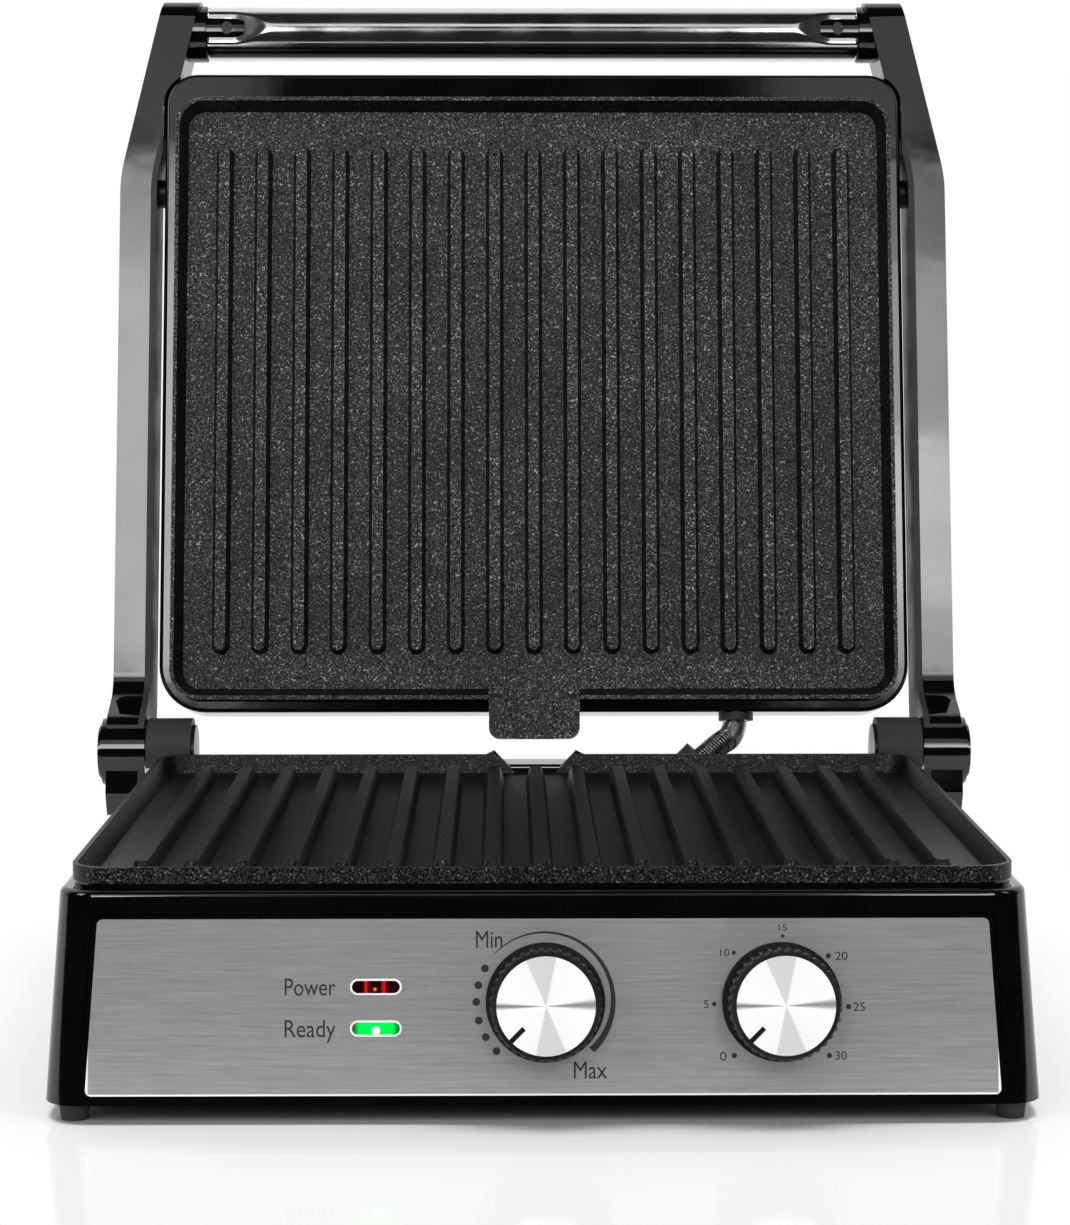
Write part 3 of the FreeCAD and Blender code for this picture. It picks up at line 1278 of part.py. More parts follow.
def swinging_pieces():
    """Arms and lid, drawn shut."""
    return {
        "arm_left": other_side(arm_shell()),
        "arm_right": arm_shell(),
        "arm_liner_left": other_side(arm_liner()),
        "arm_liner_right": arm_liner(),
        "hinge_caps": pair(hinge_cap()),
        "pivot_bolts": pair(pivot_bolt()),
        "pivot_caps": pair(pivot_cap()),
        "handle_tube": handle_tube(),
        "handle_sockets": pair(handle_socket()),
        "handle_screws": pair(handle_screw()),
        "lid_shell": lid_shell(),
        "lid_cover": lid_cover(),
        "pivot_bushes": pair(pivot_bush()),
        "lid_gland": lid_gland(),
        "upper_plate": upper_plate(),
        "upper_heater": upside_down(heater_tube()),
        "upper_reflector": upside_down(lower_reflector()),
        "upper_plate_screws": upside_down(plate_screws()),
        "upper_cutout": upside_down(thermal_fuse()),
    }


def main():
    pieces = base_pieces()
    pieces.update(knob_pieces())
    pieces["drip_tray"] = drip_tray()
    pieces.update({name: swung_open(shape) for name, shape in swinging_pieces().items()})
    whole = Part.makeCompound(list(pieces.values())).optimalBoundingBox(False, False)
    shift = vec(-(whole.XMin + whole.XMax) / 2, -(whole.YMin + whole.YMax) / 2, -whole.ZMin)
    os.makedirs("parts", exist_ok=True)
    for name, shape in pieces.items():
        placed = shape.copy()
        placed.translate(shift)
        placed.exportStep(f"parts/{name}.step")
    print("origin moved by", [round(value, 3) for value in shift])
    print("size", round(whole.XLength, 1), round(whole.YLength, 1), round(whole.ZLength, 1))
    print("hinge axis", HINGE_POINT + shift)
    print("float axis", swung_open_point(vec(0, PIVOT_Y, PIVOT_Z)) + shift)


main()
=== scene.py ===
"""Panini press: finishes, prints, lamps, handle, conduit, stage, lights and camera round the CAD frame.

Lengths are in metres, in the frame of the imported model: +Z up, -Y towards the user, +X to the user's right.
"""
import json
import logging
import math
from collections.abc import Iterable, Sequence
from dataclasses import dataclass, field
from enum import Enum
from typing import ClassVar

import bmesh
import bpy
from mathutils import Matrix, Vector


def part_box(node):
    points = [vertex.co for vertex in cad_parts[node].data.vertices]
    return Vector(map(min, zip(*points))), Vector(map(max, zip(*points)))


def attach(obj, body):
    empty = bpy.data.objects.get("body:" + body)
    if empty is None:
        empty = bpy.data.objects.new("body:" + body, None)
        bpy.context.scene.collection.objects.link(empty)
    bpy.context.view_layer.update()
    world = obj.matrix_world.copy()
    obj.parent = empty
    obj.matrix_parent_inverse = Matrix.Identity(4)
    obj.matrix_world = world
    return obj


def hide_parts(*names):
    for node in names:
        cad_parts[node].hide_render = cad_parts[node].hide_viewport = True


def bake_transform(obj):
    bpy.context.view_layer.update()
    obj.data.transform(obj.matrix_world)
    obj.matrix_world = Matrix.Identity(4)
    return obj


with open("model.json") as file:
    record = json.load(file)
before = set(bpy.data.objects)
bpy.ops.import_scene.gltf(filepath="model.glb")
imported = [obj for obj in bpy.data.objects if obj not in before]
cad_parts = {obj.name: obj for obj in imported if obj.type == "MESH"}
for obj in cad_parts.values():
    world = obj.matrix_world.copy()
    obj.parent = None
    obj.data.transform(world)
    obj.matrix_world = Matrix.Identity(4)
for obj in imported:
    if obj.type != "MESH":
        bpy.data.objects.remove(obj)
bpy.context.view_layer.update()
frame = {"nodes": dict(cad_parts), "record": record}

log = logging.getLogger("panini_press")

MM = 0.001
Colour = tuple[float, float, float]
Point = tuple[float, float, float]


class Along(Enum):
    """The direction of a finish's grain, as the stretch of its pattern on each axis."""

    X = (0.012, 1.0, 1.0)
    Y = (1.0, 0.012, 1.0)
    Z = (1.0, 1.0, 0.012)


# ---------------------------------------------------------------- node graphs


class Graph:
    """The node tree of a material or a world, with short calls for the nodes that the finishes share."""

    def __init__(self, name: str, world: bool = False) -> None:
        """Makes an empty material of that name, or a world, with its shader."""
        self.block = bpy.data.worlds.new(name) if world else bpy.data.materials.new(name)
        self.block.use_nodes = True
        self.tree = self.block.node_tree
        self.shader = self.tree.nodes["Background" if world else "Principled BSDF"]

    def fix(self, **values: object) -> None:
        """Sets sockets of the shader that are the same all over the surface.

        Args:
            values: socket names, with underscores for spaces, and their values.
        """
        for name, value in values.items():
            self.shader.inputs[name.replace("_", " ")].default_value = value

    def drive(self, socket: str, output: bpy.types.NodeSocket) -> None:
        """Joins an output to one of the shader's sockets."""
        self.tree.links.new(output, self.shader.inputs[socket])

    def add(self, kind: str, inputs: dict[str | int, object], **settings: object) -> bpy.types.Node:
        """Makes a node and fills or joins its inputs.

        Args:
            kind: the node's type, without its ShaderNode prefix.
            inputs: for each input, a value or an output to join.
            settings: the node's own properties.
        Returns:
            The new node.
        """
        node = self.tree.nodes.new("ShaderNode" + kind)
        for name, value in settings.items():
            setattr(node, name, value)
        for key, value in inputs.items():
            if isinstance(value, bpy.types.NodeSocket):
                self.tree.links.new(value, node.inputs[key])
            else:
                node.inputs[key].default_value = value
        return node

    def place(self, centre: Vector = Vector(), scale: Sequence[float] = (1, 1, 1)) -> bpy.types.NodeSocket:
        """Object coordinates, measured from a centre and stretched.

        Args:
            centre: the point that becomes the pattern's origin.
            scale: the stretch on each axis.
        Returns:
            The vector output.
        """
        coordinates = self.add("TexCoord", {}).outputs["Object"]
        moved = self.add("VectorMath", {0: coordinates, 1: centre}, operation="SUBTRACT").outputs[0]
        return self.add("VectorMath", {0: moved, 1: scale}, operation="MULTIPLY").outputs[0]

    def noise(self, vector: bpy.types.NodeSocket, scale: float, detail: float = 2.0,
              rough: float = 0.5) -> bpy.types.NodeSocket:
        """The factor output of a noise texture."""
        inputs = {"Vector": vector, "Scale": scale, "Detail": detail, "Roughness": rough}
        return self.add("TexNoise", inputs).outputs["Fac"]

    def maths(self, operation: str, first: object, second: object = 0.0) -> bpy.types.NodeSocket:
        """One sum on two numbers or outputs."""
        return self.add("Math", {0: first, 1: second}, operation=operation).outputs[0]

    def ranged(self, value: object, low: float, high: float, to_low: float = 0.0,
               to_high: float = 1.0) -> bpy.types.NodeSocket:
        """A value taken smoothly from one range to another, and held at its ends."""
        inputs = {"Value": value, "From Min": low, "From Max": high, "To Min": to_low, "To Max": to_high}
        return self.add("MapRange", inputs, interpolation_type="SMOOTHSTEP").outputs["Result"]

    def varied(self, noise: bpy.types.NodeSocket, middle_value: float, spread: float) -> bpy.types.NodeSocket:
        """A value that follows a noise, up to a spread each side of its middle."""
        return self.ranged(noise, 0.3, 0.7, middle_value - spread, middle_value + spread)

    def mix(self, factor: object, first: object, second: object) -> bpy.types.NodeSocket:
        """A blend of two colours."""
        node = self.add("Mix", {0: factor}, data_type="RGBA")
        for index, value in ((6, first), (7, second)):
            if isinstance(value, bpy.types.NodeSocket):
                self.tree.links.new(value, node.inputs[index])
            else:
                node.inputs[index].default_value = (*value, 1.0)
        return node.outputs[2]

    def between(self, factor: object, first: object, second: object) -> bpy.types.NodeSocket:
        """A blend of two numbers."""
        return self.add("Mix", {0: factor, 2: first, 3: second}).outputs[0]

    def bump(self, height: bpy.types.NodeSocket, depth: float, strength: float = 1.0) -> None:
        """Gives the surface a relief of that depth, in metres."""
        node = self.add("Bump", {"Height": height, "Distance": depth, "Strength": strength})
        self.drive("Normal", node.outputs["Normal"])


# ---------------------------------------------------------------- finishes


def shade(colour: Colour, share: float) -> Colour:
    """A colour at a share of its brightness."""
    return tuple(part * share for part in colour)


@dataclass(frozen=True)
class GlossPlastic:
    """Polished injection moulding, with faint flow waves and handling haze."""

    name: str
    colour: Colour = (0.0012, 0.0012, 0.0013)
    gloss: float = 0.07
    ior: float = 1.62

    def build(self) -> bpy.types.Material:
        """Makes the material."""
        graph = Graph(self.name)
        place = graph.place()
        haze = graph.noise(place, 34.0, 3.0)
        graph.drive("Base Color", graph.mix(haze, self.colour, shade(self.colour, 1.7)))
        graph.drive("Roughness", graph.ranged(haze, 0.3, 0.75, self.gloss * 0.75, self.gloss * 1.5))
        graph.bump(graph.noise(place, 120.0, 1.0), 0.02 * MM)
        graph.fix(IOR=self.ior)
        return graph.block


@dataclass(frozen=True)
class MouldedPlastic:
    """Moulding with a fine spark-eroded grain."""

    name: str
    colour: Colour = (0.022, 0.022, 0.023)
    roughness: float = 0.52
    grain: float = 1500.0
    depth: float = 0.09 * MM

    def build(self) -> bpy.types.Material:
        """Makes the material."""
        graph = Graph(self.name)
        place = graph.place()
        grain = graph.noise(place, self.grain, 2.0)
        wear = graph.noise(place, 45.0, 3.0)
        graph.drive("Base Color", graph.mix(grain, shade(self.colour, 0.6), shade(self.colour, 1.6)))
        graph.drive("Roughness", graph.varied(wear, self.roughness, 0.08))
        graph.bump(grain, self.depth)
        return graph.block


@dataclass(frozen=True)
class BrushedMetal:
    """Sheet metal with long brushed scratches."""

    name: str
    along: Along
    colour: Colour = (0.55, 0.55, 0.55)
    roughness: float = 0.34
    contrast: float = 0.1
    lines: float = 7600.0
    broad: float = 0.45
    # The box of the sheet, for a painted highlight along its edges, and that band's width.
    edges: tuple[Vector, Vector] | None = None
    edge: float = 0.55 * MM

    def build(self) -> bpy.types.Material:
        """Makes the material."""
        graph = Graph(self.name)
        place = graph.place(scale=self.along.value)
        fine = graph.noise(place, self.lines, 2.0, 0.6)
        broad = graph.noise(place, self.lines * 0.22, 3.0, 0.55)
        streaks = graph.between(self.broad, fine, broad)
        dark, light = shade(self.colour, 1 - self.contrast), shade(self.colour, 1 + self.contrast)
        brushed = graph.mix(graph.ranged(streaks, 0.36, 0.64), dark, light)
        if self.edges is None:
            graph.drive("Base Color", brushed)
            graph.fix(Metallic=1.0)
        else:
            # Painted highlight: the edge band turns white and less metallic, so it shows bright.
            cut = self.painted_edge_highlight(graph)
            graph.drive("Base Color", graph.mix(cut, brushed, (1.0, 1.0, 1.0)))
            graph.drive("Metallic", graph.ranged(cut, 0.0, 1.0, 0.78, 0.2))
        graph.drive("Roughness", graph.varied(fine, self.roughness, 0.06))
        graph.bump(streaks, 0.012 * MM)
        return graph.block

    def painted_edge_highlight(self, graph: Graph) -> bpy.types.NodeSocket:
        """Where the painted highlight runs: a thin band along the sheet's two sides and its bottom."""
        low, high = self.edges
        split = graph.add("SeparateXYZ", {0: graph.place((low + high) / 2)}).outputs
        side, rise = (high.x - low.x) / 2, (high.z - low.z) / 2
        sides = graph.ranged(graph.maths("ABSOLUTE", split[0]), side - 2 * self.edge, side - self.edge)
        bottom = graph.ranged(split[2], self.edge - rise, 1.6 * self.edge - rise, 1.0, 0.0)
        return graph.maths("MAXIMUM", sides, bottom)


@dataclass(frozen=True)
class PolishedMetal:
    """Buffed stainless steel, with faint polishing lines along it."""

    name: str
    along: Along = Along.X
    colour: Colour = (0.74, 0.74, 0.745)
    roughness: float = 0.11

    def build(self) -> bpy.types.Material:
        """Makes the material."""
        graph = Graph(self.name)
        lines = graph.noise(graph.place(scale=self.along.value), 3600.0, 2.0)
        smear = graph.noise(graph.place(), 60.0, 3.0)
        graph.drive("Base Color", graph.mix(lines, shade(self.colour, 0.93), self.colour))
        graph.drive("Roughness", graph.ranged(smear, 0.3, 0.7, self.roughness * 0.7, self.roughness * 1.5))
        graph.bump(lines, 0.004 * MM)
        graph.fix(Metallic=1.0)
        return graph.block


@dataclass(frozen=True)
class SpunMetal:
    """A face turned on a lathe: ring marks round a centre, and painted reflection fans round it, grey up and
    down, dark to the sides.
    """

    name: str
    centre: Vector
    axis: Vector
    up: Vector
    colour: Colour = (0.97, 0.97, 0.97)
    roughness: float = 0.34
    # Painted reflection: each fan darkens the colour by its angle round the centre, fixed to the disc.
    PAINTED_REFLECTION_FANS: ClassVar[tuple[tuple[float, float, float, float], ...]] = (
        (96.0, 18.0, 1.5, 0.7), (-84.0, 18.0, 1.5, 0.7), (180.0, 3.0, 3.0, 0.22), (2.0, 5.0, 4.0, 0.3))

    def build(self) -> bpy.types.Material:
        """Makes the material; a painted reflection fan is its middle, half width and softness in degrees, and
        its shade.
        """
        graph = Graph(self.name)
        out = graph.place(self.centre)
        right = self.up.cross(self.axis)
        across = graph.add("VectorMath", {0: out, 1: right}, operation="DOT_PRODUCT").outputs["Value"]
        upward = graph.add("VectorMath", {0: out, 1: self.up}, operation="DOT_PRODUCT").outputs["Value"]
        radius = graph.add("VectorMath", {0: out}, operation="LENGTH").outputs["Value"]
        rings = graph.noise(graph.add("CombineXYZ", {0: radius}).outputs[0], 5200.0, 3.0, 0.6)
        turn = graph.maths("ARCTAN2", upward, across)
        rings_and_painted_fans = graph.mix(rings, shade(self.colour, 0.94), self.colour)
        # Paints the reflection fans into the base colour.
        for middle_turn, half, soft, share in self.PAINTED_REFLECTION_FANS:
            away = graph.maths("ADD", turn, -math.radians(middle_turn))
            away = graph.add("Math", {0: away, 1: math.pi, 2: -math.pi}, operation="WRAP").outputs[0]
            away = graph.maths("ABSOLUTE", away)
            fan = graph.ranged(away, math.radians(half - soft), math.radians(half + soft), 1.0, 0.0)
            rings_and_painted_fans = graph.mix(fan, rings_and_painted_fans, shade(self.colour, share))
        graph.drive("Base Color", rings_and_painted_fans)
        graph.drive("Roughness", graph.varied(rings, self.roughness, 0.05))
        tangent = graph.add("VectorMath", {0: out, 1: self.axis}, operation="CROSS_PRODUCT").outputs[0]
        graph.drive("Tangent", graph.add("VectorMath", {0: tangent}, operation="NORMALIZE").outputs[0])
        graph.bump(rings, 0.01 * MM)
        graph.fix(Metallic=0.15, Anisotropic=0.6)
        return graph.block


@dataclass(frozen=True)
class NonStick:
    """Sprayed non-stick coating, granular, with painted light and shade: grey where it faces front or back,
    painted near black on its other sides.
    """

    name: str
    # How much of the grey coat shows; below 1 it darkens the whole coat as painted shade.
    level: float = 1.0
    dark: Colour = (0.0006, 0.0006, 0.0007)
    light: Colour = (0.11, 0.11, 0.111)
    fleck: Colour = (0.36, 0.36, 0.36)
    # The pale edge colour: painted highlight along the edges, with wear.
    edge_highlight_and_wear: Colour = (0.24, 0.24, 0.24)
    grain: float = 1450.0
    # How far the painted edge highlight with wear reaches round each edge.
    wear: float = 0.7 * MM
    # How dark the painted shade leaves the sides that face neither front nor back.
    painted_shade_other_sides: float = 0.1

    def build(self) -> bpy.types.Material:
        """Makes the material."""
        graph = Graph(self.name)
        place = graph.place()
        grain = graph.noise(place, self.grain, 3.0, 0.7)
        flecks = graph.noise(place, self.grain * 0.8, 1.0, 0.4)
        patch = graph.noise(place, 26.0, 3.0)
        coarse = graph.ranged(grain, 0.46, 0.64)
        base = graph.mix(coarse, self.dark, self.light)
        spotted = graph.mix(graph.ranged(flecks, 0.62, 0.74), base, self.fleck)
        # Painted edge highlight with wear, grained, along ribs and rim.
        highlit_and_worn = graph.mix(graph.maths("MULTIPLY", self.edges(graph), coarse), spotted, self.edge_highlight_and_wear)
        normal = graph.add("SeparateXYZ", {0: graph.add("TexCoord", {}).outputs["Normal"]}).outputs[1]
        # Painted light and shade by side: faces towards front or back stay lit grey, the rest is painted
        # dark.
        painted_light_by_side = graph.ranged(graph.maths("ABSOLUTE", normal), 0.6, 0.9, self.painted_shade_other_sides, 1.0)
        # Random patches of tone, scaled by level, which is painted shade where it is below 1.
        patchy = graph.ranged(patch, 0.3, 0.7, self.level, self.level * 0.7)
        cover = graph.maths("MULTIPLY", painted_light_by_side, patchy)
        graph.drive("Base Color", graph.mix(cover, self.dark, highlit_and_worn))
        graph.drive("Roughness", graph.ranged(grain, 0.35, 0.65, 0.3, 0.46))
        graph.bump(grain, 0.13 * MM)
        graph.fix(Metallic=0.0, IOR=1.36)
        return graph.block

    def edges(self, graph: Graph) -> bpy.types.NodeSocket:
        """Where the coating is paler along the edges of ribs and rim: painted edge highlight, together with
        wear.
        """
        rounded = graph.add("Bevel", {"Radius": self.wear}, samples=4).outputs[0]
        true = graph.add("NewGeometry", {}).outputs["Normal"]
        match = graph.add("VectorMath", {0: rounded, 1: true}, operation="DOT_PRODUCT").outputs["Value"]
        return graph.ranged(match, 0.9, 0.99, 1.0, 0.0)


@dataclass(frozen=True)
class MachinedMetal:
    """Small metal parts: plated, drawn or turned, with a patchy dullness."""

    name: str
    colour: Colour
    roughness: float = 0.32
    patches: float = 300.0

    def build(self) -> bpy.types.Material:
        """Makes the material."""
        graph = Graph(self.name)
        place = graph.place()
        patch = graph.noise(place, self.patches, 4.0, 0.6)
        graph.drive("Base Color", graph.mix(patch, shade(self.colour, 0.75), self.colour))
        graph.drive("Roughness", graph.ranged(patch, 0.3, 0.7, self.roughness - 0.08, self.roughness + 0.1))
        graph.bump(graph.noise(place, 2400.0, 2.0), 0.01 * MM)
        graph.fix(Metallic=1.0)
        return graph.block


@dataclass(frozen=True)
class SignalLens:
    """A tinted lens over a lamp: a hot spot in the middle, and a glow that falls off to the ends."""

    name: str
    centre: Vector
    dark: Colour
    glow: Colour
    spot: Colour
    spot_radius: float
    glow_power: float
    spot_power: float
    glow_from: float
    glow_to: float
    bands: bool = False
    band: float = 1.1 * MM

    def build(self) -> bpy.types.Material:
        """Makes the material."""
        graph = Graph(self.name)
        out = graph.place(self.centre, (1.0, 0.0, 1.0))
        radius = graph.add("VectorMath", {0: out}, operation="LENGTH").outputs["Value"]
        across = graph.add("SeparateXYZ", {0: out}).outputs[0]
        side = graph.maths("ABSOLUTE", across)
        spot = graph.ranged(radius, self.spot_radius * 0.45, self.spot_radius * 1.5, 1.0, 0.0)
        glow = graph.ranged(side, self.glow_from, self.glow_to, 1.0, 0.0)
        if self.bands:
            away = graph.maths("ABSOLUTE", graph.maths("ADD", side, -self.glow_from))
            inner = graph.ranged(away, 0.0, self.band, 1.0, 0.0)
            ripple = graph.noise(graph.add("CombineXYZ", {0: across}).outputs[0], 2600.0, 1.0)
            glow = graph.maths("MULTIPLY", inner, graph.ranged(ripple, 0.35, 0.62, 0.35, 1.0))
        colour = graph.mix(spot, graph.mix(glow, self.dark, self.glow), self.spot)
        power = graph.maths("ADD", graph.maths("MULTIPLY", glow, self.glow_power),
                            graph.maths("MULTIPLY", spot, self.spot_power))
        graph.drive("Base Color", graph.mix(glow, self.dark, self.glow))
        graph.drive("Emission Color", colour)
        graph.drive("Emission Strength", power)
        graph.fix(Roughness=0.06, IOR=1.49)
        return graph.block


@dataclass(frozen=True)
class Ink:
    """Screen-printed ink, dark grey, with a slightly dry edge."""

    name: str = "printed_ink"
    colour: Colour = (0.012, 0.012, 0.012)

    def build(self) -> bpy.types.Material:
        """Makes the material."""
        graph = Graph(self.name)
        speck = graph.noise(graph.place(), 4200.0, 2.0)
        dry = graph.ranged(speck, 0.3, 0.7)
        graph.drive("Base Color", graph.mix(dry, self.colour, shade(self.colour, 2.6)))
        graph.fix(Roughness=0.55)
        return graph.block


@dataclass(frozen=True)
class Rubber:
    """Soft black rubber with a dusty bloom."""

    name: str = "foot_rubber"
    colour: Colour = (0.018, 0.018, 0.018)

    def build(self) -> bpy.types.Material:
        """Makes the material."""
        graph = Graph(self.name)
        bloom = graph.noise(graph.place(), 180.0, 4.0, 0.65)
        graph.drive("Base Color", graph.mix(bloom, self.colour, shade(self.colour, 2.2)))
        graph.bump(graph.noise(graph.place(), 1400.0, 2.0), 0.06 * MM)
        graph.fix(Roughness=0.8)
        return graph.block


# ---------------------------------------------------------------- helpers for pieces


def dress(finish: bpy.types.Material, nodes: Iterable[str]) -> None:
    """Gives CAD nodes a finish.

    Args:
        finish: the material.
        nodes: names of CAD nodes.
    """
    for name in nodes:
        slots = frame["nodes"][name].data.materials
        for index in range(len(slots)):
            slots[index] = finish
        log.info("dressed %s in %s", name, finish.name)


def linked(name: str, mesh: bpy.types.Mesh, finish: bpy.types.Material) -> bpy.types.Object:
    """An object in the scene for a mesh, with its finish."""
    mesh.name = name
    mesh.materials.clear()
    mesh.materials.append(finish)
    piece = bpy.data.objects.new(name, mesh)
    bpy.context.scene.collection.objects.link(piece)
    return piece


def finished(name: str, shape: bmesh.types.BMesh, finish: bpy.types.Material, body: str,
             smooth: bool = True) -> bpy.types.Object:
    """Turns a shape into a piece of the object that rides on a body.

    Args:
        name: the piece's name.
        shape: its shape in the frame, which is freed.
        finish: its material.
        body: the body that it rides on.
        smooth: whether its faces are shaded smooth.
    Returns:
        The new object.
    """
    mesh = bpy.data.meshes.new(name)
    for face in shape.faces:
        face.smooth = smooth
    shape.to_mesh(mesh)
    shape.free()
    piece = linked(name, mesh, finish)
    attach(piece, body)
    log.info("made %s on %s", name, body)
    return piece


def mesh_of(data: bpy.types.Curve) -> bpy.types.Mesh:
    """The mesh of a curve or text, which is removed."""
    maker = bpy.data.objects.new("maker", data)
    bpy.context.scene.collection.objects.link(maker)
    depsgraph = bpy.context.evaluated_depsgraph_get()
    mesh = bpy.data.meshes.new_from_object(maker.evaluated_get(depsgraph))
    bpy.data.objects.remove(maker)
    bpy.data.curves.remove(data)
    return mesh


def carved(shape: bmesh.types.BMesh, cutter: bmesh.types.BMesh) -> bmesh.types.BMesh:
    """Cuts one closed shape out of another, and frees both.

    Args:
        shape: the shape that is cut.
        cutter: the shape that is taken away, whose own parts may cross.
    Returns:
        What is left.
    """
    pieces = []
    for part in (shape, cutter):
        mesh = bpy.data.meshes.new("carving")
        part.to_mesh(mesh)
        part.free()
        piece = bpy.data.objects.new("carving", mesh)
        bpy.context.scene.collection.objects.link(piece)
        pieces.append(piece)
    cut = pieces[0].modifiers.new("cut", "BOOLEAN")
    cut.operation = "DIFFERENCE"
    cut.solver = "EXACT"
    cut.use_self = True
    cut.object = pieces[1]
    mesh = bpy.data.meshes.new_from_object(pieces[0].evaluated_get(bpy.context.evaluated_depsgraph_get()))
    result = bmesh.new()
    result.from_mesh(mesh)
    bpy.data.meshes.remove(mesh)
    for piece in pieces:
        data = piece.data
        bpy.data.objects.remove(piece)
        bpy.data.meshes.remove(data)
    return result


def middle(node: str) -> Vector:
    """The middle of a CAD node's box."""
    low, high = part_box(node)
    return (Vector(low) + Vector(high)) / 2


def joint(name: str) -> dict:
    """A joint of the record, by its name."""
    return next(j for j in frame["record"]["behaviour"]["joints"] if j["name"] == name)


# ---------------------------------------------------------------- front face and its prints


@dataclass
class FrontFace:
    """The leaning front face, as a plane about a knob's axis."""

    outward: Vector = field(init=False)
    up: Vector = field(init=False)

    def __post_init__(self) -> None:
        """Takes the face's lean from the knob joint's axis."""
        self.outward = -Vector(joint("temperature_knob_turn")["axis"]).normalized()
        self.up = self.outward.cross(Vector((1, 0, 0))).normalized()
        if self.up.z < 0:
            self.up.negate()

    def knob(self, name: str) -> Vector:
        """Where a knob's axis crosses the face."""
        return Vector(joint(name)["pos_m"])

    def height_of(self, node: str) -> float:
        """How far a node reaches out of the face."""
        origin = self.knob("temperature_knob_turn")
        return max((v.co - origin).dot(self.outward) for v in frame["nodes"][node].data.vertices)

    def matrix(self, centre: Vector, out: float) -> Matrix:
        """The place of something drawn flat in X and Y.

        Args:
            centre: the point on the face that the drawing's origin goes to.
            out: how far it stands out of the face.
        Returns:
            The matrix that takes the drawing there.
        """
        origin = centre + self.outward * out
        across = Vector((1, 0, 0))
        columns = Matrix((across, self.up, self.outward)).transposed()
        return Matrix.Translation(origin) @ columns.to_4x4()


@dataclass(frozen=True)
class Minute:
    """One mark of the timer's dial: its digits, dot and number, in millimetres from the knob."""

    digits: str
    dot_x: float
    dot_y: float
    dot: float
    x: float
    wide: float
    tall: float
    rise: float = 0.0


